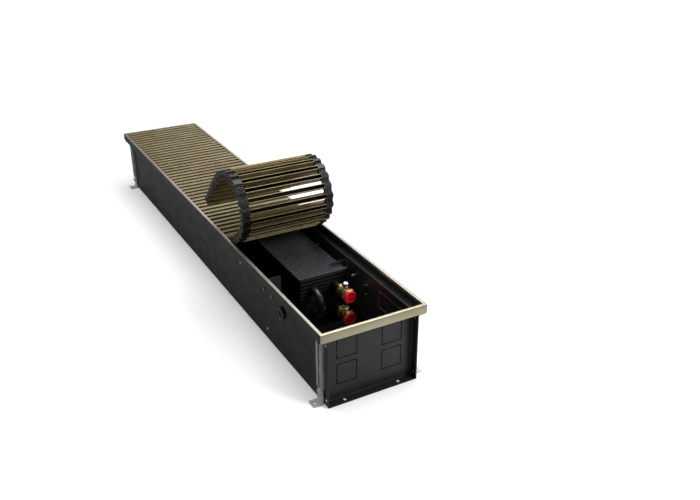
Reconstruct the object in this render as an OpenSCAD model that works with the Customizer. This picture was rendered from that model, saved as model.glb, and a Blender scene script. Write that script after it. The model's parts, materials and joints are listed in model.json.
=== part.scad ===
// Trench convector heater with its roll-up grille half rolled back, in millimetres.
// +X runs along the trench towards the pipe connections, +Y across it, +Z up.
// The origin is on the floor, under the middle of the casing.

/* [Casing] */
// Length over the edge frame
frame_l = 1250; // [1000:10:2000]
// Width over the edge frame
frame_w = 218; // [206:1:260]
// Height from the floor to the top of the edge frame
casing_h = 160; // [150:1:220]
// Thickness of the casing sheet
sheet_t = 1.2; // [0.8:0.1:2]
// Bend radius on the middle of the sheet
fold_r = 1.6; // [1.2:0.1:3]
// Depth from the top of the frame to the shelf that carries the grille
shelf_depth = 20; // [19:0.5:26]
// How far the side walls stand in from the edge of the frame
wall_inset = 15; // [13:0.5:18]
// How far the end panels sit inside the ends of the side walls
panel_recess = 17; // [14:0.5:18]

/* [Edge frame] */
// Width of the frame's top lip
lip_w = 6; // [5.6:0.1:8]
// Thickness of the frame's top lip
lip_t = 1.5; // [1:0.1:2.5]
// Height of the decorative face at each end
face_h = 18; // [14:0.5:22]
// Thickness of the decorative face
face_t = 3; // [2:0.1:4]
// Thickness of the frame's inner leg
leg_t = 1.3; // [1:0.1:1.6]
// Depth of the frame's inner leg
leg_h = 8; // [5:0.5:12]

/* [Knock-outs] */
// Side of the square pipe knock-outs in the end panels
knock_side = 41; // [32:1:46]
// Distance between the centres of two square knock-outs, across the trench
knock_dy = 94; // [88:1:110]
// Distance between the centres of two square knock-outs, up the panel
knock_dz = 54; // [50:1:56]
// Height of the lower knock-outs' centres over the floor
knock_z = 54.5; // [50:0.5:58]
// Width of the punched slits
slit = 1.2; // [0.8:0.1:1.6]
// Length of the bridges that hold a knock-out
bridge = 2; // [1.5:0.1:4]
// Length of the rectangular knock-out in each side wall
side_knock_l = 90; // [60:1:100]
// Height of the rectangular knock-out in each side wall
side_knock_h = 35; // [25:1:40]
// Diameter of the round covers over the cable entries
cable_cover_d = 26; // [22:1:30]

/* [Grille] */
// Distance from one slat to the next
pitch = 20; // [19:0.25:21]
// Width of a slat's top
slat_w = 10; // [8:0.5:12]
// Depth of a slat
slat_d = 19; // [16:0.5:20]
// Wall of the slat's section
slat_t = 1.2; // [1:0.1:1.6]
// Height of the hinge axis over the grille's underside
hinge_h = 8; // [7:0.5:9]
// Width of an end block along the trench
block_w = 16; // [15:0.5:16.5]
// Length of an end block along its slat
block_l = 17; // [15:0.5:20]
// Height of an end block
block_h = 12; // [11:0.5:13]
// Radius of a hinge knuckle
knuckle_r = 3.2; // [2.8:0.1:3.4]
// Radius of a hinge pin
pin_r = 1.5; // [1.2:0.1:1.8]
// Turn at each hinge of the raised part, from the shelf to the free end, in degrees
bends = [23, 3, 5, 7, 10, 14, 19, 21, 18, 13, 15, 18, 17, 14, 10, 8, 6, 3, 2, 1, 1, 1];

/* [Heat exchanger] */
// Width of the fins
fin_w = 106; // [90:1:110]
// Height of the fins
fin_h = 100; // [80:1:104]
// Thickness of a fin
fin_t = 0.5; // [0.3:0.1:0.8]
// Gap between the lip bent over along a fin's top and bottom and the next fin
lip_gap = 2.5; // [2.4:0.1:3.5]
// Distance from one fin to the next
fin_pitch = 8; // [5:0.5:12]
// Distance from the frame's edge to the first fin, at the connection end
fins_front = 252; // [230:1:300]
// Distance from the frame's edge to the last fin, at the far end
fins_rear = 70; // [65:1:200]
// Middle of the fins across the trench
fins_y = 28; // [24:1:30]
// Height of the fins' lower edge over the floor
fins_z = 23; // [16:1:30]
// Outer diameter of the tubes
tube_d = 15; // [12:1:18]
// Wall of the tubes
tube_wall = 1; // [0.7:0.1:1.5]
// Distance between neighbouring tubes
tube_gap = 50; // [44:1:54]

/* [Connectors] */
// Distance from the frame's edge to the outer end of the connectors
connector_x = 187.5; // [170:0.5:210]
// Diameter of the connectors' body
connector_d = 22; // [21.5:0.5:26]
// Width across the flats of the union hexagon
hex_af = 27; // [24:1:30]
// Radius of the socket that takes the pipe's tail
socket_r = 10.2; // [9.5:0.1:10.4]
// Diameter of the transport caps
cap_d = 25.7; // [24:0.1:26.5]

/* [Feet] */
// Distance from the frame's edge to the middle of each foot, along the trench
foot_x = 28; // [26:1:60]
// Width of the foot's plate and of the channel that guides its leg
foot_w = 21.5; // [19:0.5:26]
// Thickness of the foot's bracket
foot_t = 2.2; // [1.8:0.1:2.6]
// How far the foot's plate reaches out from the wall
foot_reach = 22; // [18:1:30]
// Height of the foot's leg
foot_leg_h = 76; // [60:1:80]
// How far a foot can be let down
foot_travel = 30; // [10:1:30]
// Diameter of the hole for the floor screw
floor_hole_d = 7; // [5:0.5:9]

/* [Hidden] */
$fn = 48;
fold_steps = 3;
touch = 0.1;    // clearance between pieces that are pushed together
run = 0.06;     // clearance of a pin or screw in its hole
rest = 0.3;     // gap between the grille and what it lies on

half_l = frame_l / 2;
half_w = frame_w / 2;
wall_y = half_w - wall_inset;              // outer face of a side wall
inner_y = wall_y - sheet_t;                // inner face of a side wall
rim_y = half_w - 1.5;                      // outer face of the raised rim
shelf_z = casing_h - shelf_depth;          // top of the shelf
end_x = half_l - face_t;                   // ends of the sheet-metal casing
panel_x = end_x - panel_recess;            // outer face of an end panel
rim_top = casing_h - lip_t;

// grille
inner_l = frame_l - 2 * lip_w;
slat_count = floor((inner_l - 2 + pitch - block_w) / pitch);
first_slat_x = (slat_count - 1) * pitch / 2;                  // frontmost slat when all lie flat
raised_count = len(bends);
base_x = first_slat_x + pitch / 2 - raised_count * pitch;    // hinge between the flat and raised parts
hinge_z = shelf_z + rest + hinge_h;
slat_half_l = half_w - lip_w - 1;
block_y = slat_half_l - block_l;                             // inner end of an end block
knuckle_l = (block_l - 1) / 3;                               // tongue, and each cheek of a fork
relief_r = knuckle_r + 0.4;
notch_h = 3;                                                 // how far a slat's legs are cut short over a block

// exchanger
tube_r = tube_d / 2;
tube_y = [fins_y - tube_gap / 2, fins_y + tube_gap / 2];
tube_z = [fins_z + fin_h / 2 - tube_gap / 2, fins_z + fin_h / 2 + tube_gap / 2];
first_fin_x = half_l - fins_front;
fin_count = floor((frame_l - fins_front - fins_rear) / fin_pitch) + 1;
last_fin_x = first_fin_x - (fin_count - 1) * fin_pitch;
bracket_t = 1.2;
bracket_back = fin_t + touch + bracket_t / 2;                // a bracket stands close behind a fin
bracket_front_x = first_fin_x - 3 * fin_pitch - bracket_back;
bracket_rear_x = last_fin_x + 4 * fin_pitch - bracket_back;
bend_gap = 12;                                               // from an outer fin to the start of a bend
cup_l = 7;                                                   // soldered cup on each bend's end

// connectors, measured back from their outer end
connector_end = half_l - connector_x;
hex_l = 7.5;
body_l = 18;
neck_l = 5;
ring_l = 7;
ring_af = 22;
connector_back = connector_end - hex_l - body_l - neck_l - ring_l;
boss_x = connector_end - hex_l - body_l / 2;
boss_r = 6.5;
boss_h = 13.5;
stem_r = 3;
cap_t = 5.5;
socket_l = 9.5;

// feet
channel_t = 1;
channel_d = 5.5;
channel_slot = 5;
channel_z0 = 32;
channel_z1 = shelf_z - sheet_t - 1.2;
leg_y = wall_y + channel_t + 0.6;                            // inner face of a foot's leg
bolt_r = 2.2;
washer_r = 7;
foot_bolt_z = channel_z0 - washer_r - 0.6;

// casing screws and rivets
rivet_r = 1.6;
rivet_head_r = 3.2;
rivet_head_h = 1.1;
flange_mid = end_x - 8;
flange_rivet_z = [13, shelf_z - 10];
floor_rivet_y = 57;
screw_z = shelf_z - 26;
screw_x = [bracket_front_x + 41, bracket_front_x + 4.5];
cable_from_end = 188;
cable_below_shelf = 37;
cable_x = half_l - cable_from_end;
cable_z = shelf_z - cable_below_shelf;
cable_screw_dz = cable_cover_d / 2 - 3;
cable_spigot_r = cable_cover_d / 2 - 6;
cable_cover_h = 5;
upper_rivet_from_end = 399;
upper_rivet_below_shelf = 24;
upper_rivet = [half_l - upper_rivet_from_end, shelf_z - upper_rivet_below_shelf];
side_knock_from_end = 50;
side_knock_below_shelf = 18;
ear_l = 17;
ear_w = 37;
ear_z = [fins_z - 8, fins_z + fin_h + 9];
strap_h = 16;
lower_rivet_x = bracket_front_x + 9;
lower_rivet_z = 23.5;

function link_names() = [for (i = [1 : raised_count]) str("link_", i < 10 ? "0" : "", i)];

// ---------------------------------------------------------------- sheet metal

function unit(v) = v / norm(v);
function left_of(v) = [-v.y, v.x];
function turned(v, a) = [v.x * cos(a) - v.y * sin(a), v.x * sin(a) + v.y * cos(a)];
function turn_between(a, b) = atan2(a.x * b.y - a.y * b.x, a * b);

// One face of a folded sheet, `side` to the left of the sheet's middle line
function sheet_face(path, side) = concat(
    [path[0] + left_of(unit(path[1] - path[0])) * side],
    [for (i = [1 : len(path) - 2])
        let (a = unit(path[i] - path[i - 1]), b = unit(path[i + 1] - path[i]),
             t = turn_between(a, b), s = sign(t),
             centre = path[i] - a * fold_r * tan(abs(t) / 2) + left_of(a) * s * fold_r)
        for (k = [0 : fold_steps])
            centre + turned(left_of(a), t * k / fold_steps) * (side - s * fold_r)],
    [let (n = len(path) - 1) path[n] + left_of(unit(path[n] - path[n - 1])) * side]);

// Section of a sheet of thickness t, bent along a path
module folded(path, t) {
    far = sheet_face(path, -t / 2);
    polygon(concat(sheet_face(path, t / 2), [for (i = [len(far) - 1 : -1 : 0]) far[i]]));
}

// A section drawn in Y and Z, run along X from x0 to x1
module along_x(x0, x1) {
    translate([x0, 0, 0]) rotate([90, 0, 90]) linear_extrude(x1 - x0) children();
}

// A section drawn in X and Z, run along Y from y0 to y1
module along_y(y0, y1) {
    translate([0, y1, 0]) rotate([90, 0, 0]) linear_extrude(y1 - y0) children();
}

// A rod of radius r along X or Y, from its centre at the start
module rod_x(r, l) { rotate([0, 90, 0]) cylinder(r = r, h = l); }
module rod_y(r, l) { rotate([-90, 0, 0]) cylinder(r = r, h = l); }

// Punched outline of a knock-out w by h: slits on all sides, with two bridges in each
module knock_out(w, h) {
    module side(l) {
        run_l = (l + slit - 2 * bridge) / 3;
        for (i = [0 : 2])
            translate([-(l + slit) / 2 + i * (run_l + bridge), -slit / 2]) square([run_l, slit]);
    }
    for (s = [-1, 1]) {
        translate([0, s * h / 2]) side(w);
        translate([s * w / 2, 0]) rotate(90) side(h - 2 * slit);
    }
}

// Places things at both ends, mirrored about the middle of the trench
module both_ends() {
    children();
    mirror([1, 0, 0]) children();
}

module both_sides() {
    children();
    mirror([0, 1, 0]) children();
}

// ---------------------------------------------------------------- casing

module trough() {
    half_t = sheet_t / 2;
    right = [[rim_y - sheet_t - touch, shelf_z - half_t], [wall_y - half_t, shelf_z - half_t],
             [wall_y - half_t, half_t]];
    section = concat(right, [for (i = [len(right) - 1 : -1 : 0]) [-right[i].x, right[i].y]]);
    color("#1d1d1f") difference() {
        along_x(-end_x, end_x) folded(section, sheet_t);
        both_ends() both_sides() {
            for (z = flange_rivet_z) wall_hole(flange_mid, z, rivet_r + run);
            wall_hole(half_l - foot_x, foot_bolt_z, bolt_r + run);
        }
        both_ends() for (y = [-floor_rivet_y, floor_rivet_y])
            translate([flange_mid, y, -1]) cylinder(r = rivet_r + run, h = sheet_t + 2);
        both_sides() {
            for (x = screw_x) wall_hole(x, screw_z, bolt_r + run);
            wall_hole(lower_rivet_x, lower_rivet_z, rivet_r + run);
            wall_hole(upper_rivet.x, upper_rivet.y, rivet_r + run);
            wall_hole(cable_x, cable_z, cable_spigot_r + touch);
            for (s = [-1, 1]) wall_hole(cable_x, cable_z + s * cable_screw_dz, rivet_r + run);
            along_y(inner_y - 1, wall_y + 1)
                translate([
                    half_l - side_knock_from_end - side_knock_l / 2,
                    shelf_z - side_knock_below_shelf - side_knock_h / 2
                ])
                knock_out(side_knock_l, side_knock_h);
        }
    }
}

// Upright strip welded along the shelf's outer edge, which carries the edge frame
module rim() {
    color("#1d1d1f") translate([-end_x, rim_y - sheet_t, shelf_z - sheet_t])
        cube([2 * end_x, sheet_t, rim_top - shelf_z + sheet_t]);
}

module rim_left() { mirror([0, 1, 0]) rim(); }
module rim_right() { rim(); }

// Round hole through the right wall
module wall_hole(x, z, r) {
    translate([x, inner_y - 1, z]) rod_y(r, sheet_t + 2);
}

// Tray that closes an end: shelf and rim on top, flanges turned outwards on three sides
module end_panel() {
    half_t = sheet_t / 2;
    out_r = fold_r + half_t;
    side_y = inner_y - touch - half_t;
    floor_z = sheet_t + touch + half_t;
    plate_x = panel_x - half_t;
    head_z = shelf_z - half_t;
    upright = [[end_x - half_t, rim_top], [end_x - half_t, head_z], [plate_x, head_z],
               [plate_x, floor_z], [end_x, floor_z]];
    plan = [[end_x, side_y], [plate_x, side_y], [plate_x, -side_y], [end_x, -side_y]];
    color("#242426") difference() {
        union() {
            along_y(-side_y + out_r, side_y - out_r) folded(upright, sheet_t);
            translate([0, 0, floor_z + out_r])
                linear_extrude(head_z - floor_z - 2 * out_r) folded(plan, sheet_t);
        }
        for (y = [-knock_dy / 2, knock_dy / 2], z = [knock_z, knock_z + knock_dz])
            along_x(panel_x - sheet_t - 1, panel_x + 1) translate([y, z])
                knock_out(knock_side, knock_side);
        both_sides() for (z = flange_rivet_z)
            translate([flange_mid, side_y - sheet_t, z]) rod_y(rivet_r + run, 2 * sheet_t);
        for (y = [-floor_rivet_y, floor_rivet_y])
            translate([flange_mid, y, 0]) cylinder(r = rivet_r + run, h = 3 * sheet_t);
    }
}

module front_end_panel() { end_panel(); }
module rear_end_panel() { mirror([1, 0, 0]) end_panel(); }

// Domed rivet head on a shank that reaches down through the sheets it holds
module rivet(grip) {
    dome_r = (rivet_head_r * rivet_head_r + rivet_head_h * rivet_head_h) / (2 * rivet_head_h);
    intersection() {
        translate([0, 0, rivet_head_h - dome_r]) sphere(r = dome_r);
        cylinder(r = rivet_head_r, h = rivet_head_h);
    }
    translate([0, 0, -grip]) cylinder(r = rivet_r, h = grip);
}

module panel_rivets() {
    color("silver") both_ends() {
        both_sides() for (z = flange_rivet_z)
            translate([flange_mid, wall_y, z]) rotate([-90, 0, 0]) rivet(2 * sheet_t + touch);
        for (y = [-floor_rivet_y, floor_rivet_y])
            translate([flange_mid, y, 2 * sheet_t + touch]) rivet(2 * sheet_t + touch);
    }
}

// Stands things on the outer face of the right wall, with their +Z outwards
module on_wall(x, z) {
    translate([x, wall_y, z]) rotate([-90, 0, 0]) children();
}

module wall_rivets() {
    color("silver") both_sides() {
        on_wall(lower_rivet_x, lower_rivet_z) rivet(sheet_t + bracket_t + touch + 0.8);
        on_wall(upper_rivet.x, upper_rivet.y) rivet(sheet_t + 1.5);
    }
}

// Cross-recessed pan-head screw that reaches down below its head
module pan_screw(head_r, head_h, shank_r, reach) {
    difference() {
        cylinder(r = head_r, h = head_h);
        translate([0, 0, head_h]) {
            cube([1.2 * head_r, 0.25 * head_r, head_h], center = true);
            cube([0.25 * head_r, 1.2 * head_r, head_h], center = true);
        }
    }
    translate([0, 0, -reach]) cylinder(r = shank_r, h = reach);
}

module wall_screws() {
    color("silver") both_sides() {
        for (x = screw_x) on_wall(x, screw_z) pan_screw(4, 2.4, bolt_r, sheet_t + 8);
        for (s = [-1, 1]) on_wall(cable_x, cable_z + s * cable_screw_dz)
            translate([0, 0, cable_cover_h]) pan_screw(2.6, 1.5, rivet_r, cable_cover_h + sheet_t + 3);
    }
}

// Round cover with a raised rim over a cable entry
module cable_covers() {
    r = cable_cover_d / 2;
    color("#161617") both_sides() on_wall(cable_x, cable_z) difference() {
        union() {
            rotate_extrude() polygon([[0, 0], [r, 0], [r, cable_cover_h - 1.5],
                [r - 1.5, cable_cover_h], [r - 5.5, cable_cover_h],
                [r - 6.5, cable_cover_h - 1.4], [0, cable_cover_h - 1.4]]);
            translate([0, 0, -sheet_t - 1.5]) cylinder(r = cable_spigot_r, h = sheet_t + 2);
        }
        for (s = [-1, 1]) translate([0, s * cable_screw_dz, -1])
            cylinder(r = rivet_r + run, h = cable_cover_h + 2);
    }
}

// ---------------------------------------------------------------- edge frame

frame_tone = "#b9ae92";

module side_rail() {
    leg_out = rim_y - sheet_t - touch;
    color(frame_tone) intersection() {
        along_x(-half_l, half_l) union() {
            translate([half_w - lip_w, casing_h - lip_t]) square([lip_w, lip_t]);
            translate([leg_out - leg_t, casing_h - leg_h]) square([leg_t, leg_h]);
        }
        union() {
            translate([-half_l + lip_w, half_w - lip_w, 0])
                cube([frame_l - 2 * lip_w, lip_w, casing_h]);
            translate([0, 0, casing_h - lip_t]) linear_extrude(2 * lip_t)
                polygon([[-half_l, half_w], [half_l, half_w],
                         [half_l - lip_w, half_w - lip_w], [-half_l + lip_w, half_w - lip_w]]);
        }
    }
}

module frame_rail_left() { mirror([0, 1, 0]) side_rail(); }
module frame_rail_right() { side_rail(); }

module end_rail() {
    leg_out = end_x - sheet_t - touch;
    color(frame_tone) {
        intersection() {
            along_y(-half_w, half_w)
                translate([half_l - lip_w, casing_h - lip_t]) square([lip_w, lip_t]);
            translate([0, 0, casing_h - lip_t]) linear_extrude(lip_t)
                polygon([[half_l, half_w], [half_l, -half_w],
                         [half_l - lip_w, lip_w - half_w], [half_l - lip_w, half_w - lip_w]]);
        }
        translate([end_x, -half_w, casing_h - face_h]) cube([face_t, frame_w, face_h - lip_t]);
        translate([leg_out - leg_t, lip_w - half_w, casing_h - leg_h])
            cube([leg_t, frame_w - 2 * lip_w, leg_h - lip_t]);
    }
}

module frame_rail_front() { union() end_rail(); }
module frame_rail_rear() { mirror([1, 0, 0]) union() end_rail(); }

// ---------------------------------------------------------------- feet

// C-channel on the wall, open outwards by a slot, that guides a foot's leg
module foot_channel() {
    lip = (foot_w - channel_slot) / 2;
    color("silver") translate([half_l - foot_x, wall_y, channel_z0])
        linear_extrude(channel_z1 - channel_z0) {
            translate([-foot_w / 2, 0]) square([foot_w, channel_t]);
            for (s = [-1, 1]) scale([s, 1]) {
                translate([foot_w / 2 - channel_t, 0]) square([channel_t, channel_d]);
                translate([channel_slot / 2, channel_d - channel_t]) square([lip, channel_t]);
            }
        }
}

// L-bracket: a slotted leg that rides in the channel, and a plate on the floor with its screw hole
module foot() {
    leg_w = foot_w - 2 * channel_t - 0.6;
    plate_y = wall_y + foot_reach;
    slot_r = bolt_r + 0.5;
    color("gainsboro") translate([half_l - foot_x, 0, 0]) difference() {
        union() {
            translate([-leg_w / 2, leg_y, 0]) cube([leg_w, foot_t, foot_leg_h]);
            translate([-foot_w / 2, leg_y, 0]) cube([foot_w, foot_t, foot_bolt_z - 6]);
            translate([-foot_w / 2, leg_y, 0]) cube([foot_w, plate_y - leg_y, foot_t]);
        }
        translate([0, plate_y - 8, -1]) cylinder(d = floor_hole_d, h = foot_t + 2);
        for (z = [foot_bolt_z, foot_bolt_z + foot_travel])
            translate([0, leg_y - 1, z]) rod_y(slot_r, foot_t + 2);
        translate([-slot_r, leg_y - 1, foot_bolt_z]) cube([2 * slot_r, foot_t + 2, foot_travel]);
    }
}

// Bolt that clamps a foot's leg: washer and head outside, nut inside the wall
module foot_bolts() {
    leg_face = leg_y - wall_y + foot_t + touch;
    color("whitesmoke") both_ends() both_sides() on_wall(half_l - foot_x, foot_bolt_z) {
        translate([0, 0, leg_face]) cylinder(r = washer_r, h = 1.3);
        translate([0, 0, leg_face + 1.3]) pan_screw(5, 3, bolt_r, leg_face + 1.3 + sheet_t + 4);
        translate([0, 0, -sheet_t - 3.2]) cylinder(r = 4 / cos(30), h = 3.2, $fn = 6);
    }
}

module foot_channel_front_right() { foot_channel(); }
module foot_channel_front_left() { mirror([0, 1, 0]) foot_channel(); }
module foot_channel_rear_right() { mirror([1, 0, 0]) foot_channel(); }
module foot_channel_rear_left() { mirror([1, 0, 0]) mirror([0, 1, 0]) foot_channel(); }
module foot_front_right() { foot(); }
module foot_front_left() { mirror([0, 1, 0]) foot(); }
module foot_rear_right() { mirror([1, 0, 0]) foot(); }
module foot_rear_left() { mirror([1, 0, 0]) mirror([0, 1, 0]) foot(); }

// ---------------------------------------------------------------- heat exchanger

exchanger_tone = "#2a2a2c";

// Places things at each of the four tubes, in Y and Z
module at_tubes() {
    for (y = tube_y, z = tube_z) translate([y, z]) children();
}

module fin_section() {
    difference() {
        translate([fins_y - fin_w / 2, fins_z]) square([fin_w, fin_h]);
        at_tubes() circle(r = tube_r + touch / 2);
    }
}

// Each fin has a narrow lip bent towards the connections along its top and bottom
module fins() {
    color(exchanger_tone) for (i = [1 : fin_count - 2]) let (x = first_fin_x - i * fin_pitch) {
        along_x(x - fin_t, x) fin_section();
        for (z = [fins_z, fins_z + fin_h - fin_t])
            translate([x - fin_t, fins_y - fin_w / 2, z])
                cube([fin_pitch - lip_gap + fin_t, fin_w, fin_t]);
    }
}

// Outermost fins, pressed into ridges that run across the trench
module end_fin() {
    ridges = 12;
    ridge_d = 1.6;
    step = fin_h / (2 * ridges);
    front = [for (i = [0 : 2 * ridges]) [i % 2 * ridge_d, fins_z + i * step]];
    back = [for (i = [2 * ridges : -1 : 0]) [i % 2 * ridge_d - fin_t * 1.6, fins_z + i * step]];
    difference() {
        along_y(fins_y - fin_w / 2, fins_y + fin_w / 2) polygon(concat(front, back));
        at_tubes_3d() translate([-5, 0, 0]) rod_x(tube_r + touch / 2, 10);
    }
}

module at_tubes_3d() {
    for (y = tube_y, z = tube_z) translate([0, y, z]) children();
}

module end_fins() {
    color(exchanger_tone) {
        translate([first_fin_x, 0, 0]) end_fin();
        translate([last_fin_x, 0, 0]) mirror([1, 0, 0]) end_fin();
    }
}

module pipe(l) {
    rotate([0, 90, 0]) difference() {
        cylinder(r = tube_r, h = l);
        translate([0, 0, -1]) cylinder(r = tube_r - tube_wall, h = l + 2);
    }
}

module core_tubes() {
    rear = last_fin_x - bend_gap;
    front = [first_fin_x + bend_gap, connector_back + ring_l + neck_l / 2];
    color(exchanger_tone) for (i = [0, 1], z = tube_z)
        translate([rear, tube_y[i], z]) pipe(front[i] - rear);
}

// Half-turn bend in the X-Y plane, from y = 0 to y = tube_gap, with a cup over each tube's end
module return_bend() {
    stub = 2;
    cup_r = tube_r + tube_wall + touch / 2;
    translate([stub, tube_gap / 2, 0]) rotate([0, 0, -90]) rotate_extrude(angle = 180)
        translate([tube_gap / 2, 0]) difference() {
            circle(r = tube_r);
            circle(r = tube_r - tube_wall);
        }
    for (y = [0, tube_gap]) translate([-cup_l, y, 0]) rotate([0, 90, 0]) difference() {
        union() {
            cylinder(r = cup_r, h = cup_l + stub - 0.5);
            cylinder(r = tube_r, h = cup_l + stub);
        }
        translate([0, 0, -1]) cylinder(r = tube_r + touch / 2, h = cup_l + 1);
        translate([0, 0, -1]) cylinder(r = tube_r - tube_wall, h = cup_l + stub + 2);
    }
}

module return_bends() {
    color(exchanger_tone) {
        translate([first_fin_x + bend_gap, tube_y[0], tube_z[0]]) rotate([90, 0, 0]) return_bend();
        for (z = tube_z) translate([last_fin_x - bend_gap, tube_y[0], z])
            mirror([1, 0, 0]) return_bend();
    }
}

// Plate that the tubes pass through, standing on a foot that reaches out from under the fins
module exchanger_bracket() {
    foot_l = 3 * fin_pitch + 11;
    foot_z = sheet_t + (bracket_t + touch) / 2;
    plate = [[0, fins_z + fin_h - 2], [0, foot_z], [foot_l, foot_z]];
    difference() {
        along_y(fins_y - fin_w / 2 + 2, fins_y + fin_w / 2 - 2) folded(plate, bracket_t);
        at_tubes_3d() translate([-5, 0, 0]) rod_x(tube_r + touch / 2, 10);
    }
}

// The front bracket also has a strap across the trench, with an ear up each wall, whose edge is
// bent forwards, riveted and screwed to the wall
module exchanger_bracket_front() {
    side_y = inner_y - touch - bracket_t / 2;
    window_y = inner_y - ear_w;
    ears = [[ear_l, side_y], [0, side_y], [0, -side_y], [ear_l, -side_y]];
    color("#202022") translate([bracket_front_x, 0, 0]) difference() {
        union() {
            exchanger_bracket();
            difference() {
                translate([0, 0, ear_z[0]]) linear_extrude(ear_z[1] - ear_z[0])
                    folded(ears, bracket_t);
                translate([-2, -window_y, ear_z[0] + strap_h]) cube([4, 2 * window_y, casing_h]);
            }
        }
        at_tubes_3d() translate([-5, 0, 0]) rod_x(tube_r + touch / 2, 10);
        both_sides() {
            translate([lower_rivet_x - bracket_front_x, side_y - bracket_t, lower_rivet_z])
                rod_y(rivet_r + run, 2 * bracket_t);
            translate([screw_x[1] - bracket_front_x, side_y - bracket_t, screw_z])
                rod_y(bolt_r + run, 2 * bracket_t);
        }
    }
}

module exchanger_bracket_rear() {
    color("#202022") translate([bracket_rear_x, 0, 0]) mirror([1, 0, 0]) exchanger_bracket();
}

// ---------------------------------------------------------------- connectors

// Brass tee: compression ring on the tube, body with a boss on top, and a hexagon with its socket
module connector() {
    body_r = connector_d / 2;
    x_neck = ring_l;
    x_body = x_neck + neck_l;
    x_hex = x_body + body_l;
    x_end = x_hex + hex_l;
    hex_r = hex_af / 2 / cos(30);
    color("#c9a45c") difference() {
        union() {
            rotate([0, 90, 0]) {
                cylinder(r = ring_af / 2 / cos(30), h = ring_l, $fn = 6);
                cylinder(r = tube_r + 2.2, h = x_hex);
                translate([0, 0, x_body]) cylinder(r = body_r, h = body_l);
                translate([0, 0, x_hex]) cylinder(r = hex_r, h = hex_l, $fn = 6);
            }
            translate([x_body + body_l / 2, 0, 0]) cylinder(r = boss_r, h = boss_h);
        }
        rotate([0, 90, 0]) {
            translate([0, 0, -1]) cylinder(r = tube_r + touch / 2, h = ring_l + neck_l / 2 + 1 + touch);
            cylinder(r = tube_r - tube_wall, h = x_end);
            translate([0, 0, x_end - socket_l]) cylinder(r = socket_r, h = socket_l + 1);
        }
        translate([x_body + body_l / 2, 0, 0]) cylinder(r = stem_r + run, h = boss_h + 1);
    }
}

module supply_connector() { translate([connector_back, tube_y[1], tube_z[1]]) connector(); }
module return_connector() { translate([connector_back, tube_y[1], tube_z[0]]) connector(); }

// Domed knob on a stem that screws into the boss
module air_vent_screw() {
    knob_r = 7.8;
    knob_h = 9;
    lift = 3;
    color("#e4e6e8") translate([boss_x, tube_y[1], tube_z[1] + boss_h]) {
        translate([0, 0, -5]) cylinder(r = stem_r, h = 5 + lift + 1);
        translate([0, 0, lift]) rotate_extrude() polygon(concat([[0, 0], [knob_r - 0.8, 0],
            [knob_r, 0.8], [knob_r, knob_h - 4]],
            [for (a = [0 : 15 : 90]) [(knob_r - 3) + 3 * cos(a), knob_h - 3 + 3 * sin(a)]],
            [[0, knob_h]]));
    }
}

// Flat-topped plug in the lower connector's boss
module drain_plug() {
    plug_r = 7.6;
    color("#b98f4c") translate([boss_x, tube_y[1], tube_z[0] + boss_h]) {
        translate([0, 0, -5]) cylinder(r = stem_r, h = 6);
        translate([0, 0, 0.2]) difference() {
            cylinder(r = plug_r, h = 3.6);
            translate([0, 0, 3]) cube([2 * plug_r * 0.6, 1.4, 2.4], center = true);
        }
    }
}

// Transport cap: recessed disc with a cross inside, on a plug that fits the socket
module transport_cap() {
    plug_l = 8;
    recess_r = 9.4;
    recess_d = 4;
    web = 2;
    color("#d8232a") rotate([0, 90, 0]) {
        difference() {
            translate([0, 0, touch]) cylinder(d = cap_d, h = cap_t);
            translate([0, 0, touch + cap_t - recess_d]) difference() {
                cylinder(r = recess_r, h = recess_d + 1);
                for (a = [0, 90]) rotate(a) translate([-recess_r, -web / 2, 0])
                    cube([2 * recess_r, web, recess_d - 1]);
            }
        }
        translate([0, 0, -plug_l]) cylinder(r = socket_r - touch, h = plug_l + touch + 0.5);
    }
}

module supply_cap() { translate([connector_end, tube_y[1], tube_z[1]]) transport_cap(); }
module return_cap() { translate([connector_end, tube_y[1], tube_z[0]]) transport_cap(); }

// ---------------------------------------------------------------- roll-up grille

// A link's own frame has its rear hinge axis at the origin and its front one at x = pitch

// Slat: an upside-down channel, its legs cut short over the end blocks
module slat() {
    top = slat_d - hinge_h;
    x0 = (pitch - slat_w) / 2;
    color(frame_tone) difference() {
        along_y(-slat_half_l, slat_half_l) difference() {
            translate([x0, -hinge_h]) square([slat_w, slat_d]);
            translate([x0 + slat_t, -hinge_h - 1]) square([slat_w - 2 * slat_t, slat_d + 1 - slat_t]);
        }
        both_sides() translate([x0 - 1, block_y - touch, -hinge_h - 1])
            cube([slat_w + 2, block_l + 1, notch_h + 1 + touch]);
    }
}

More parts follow.
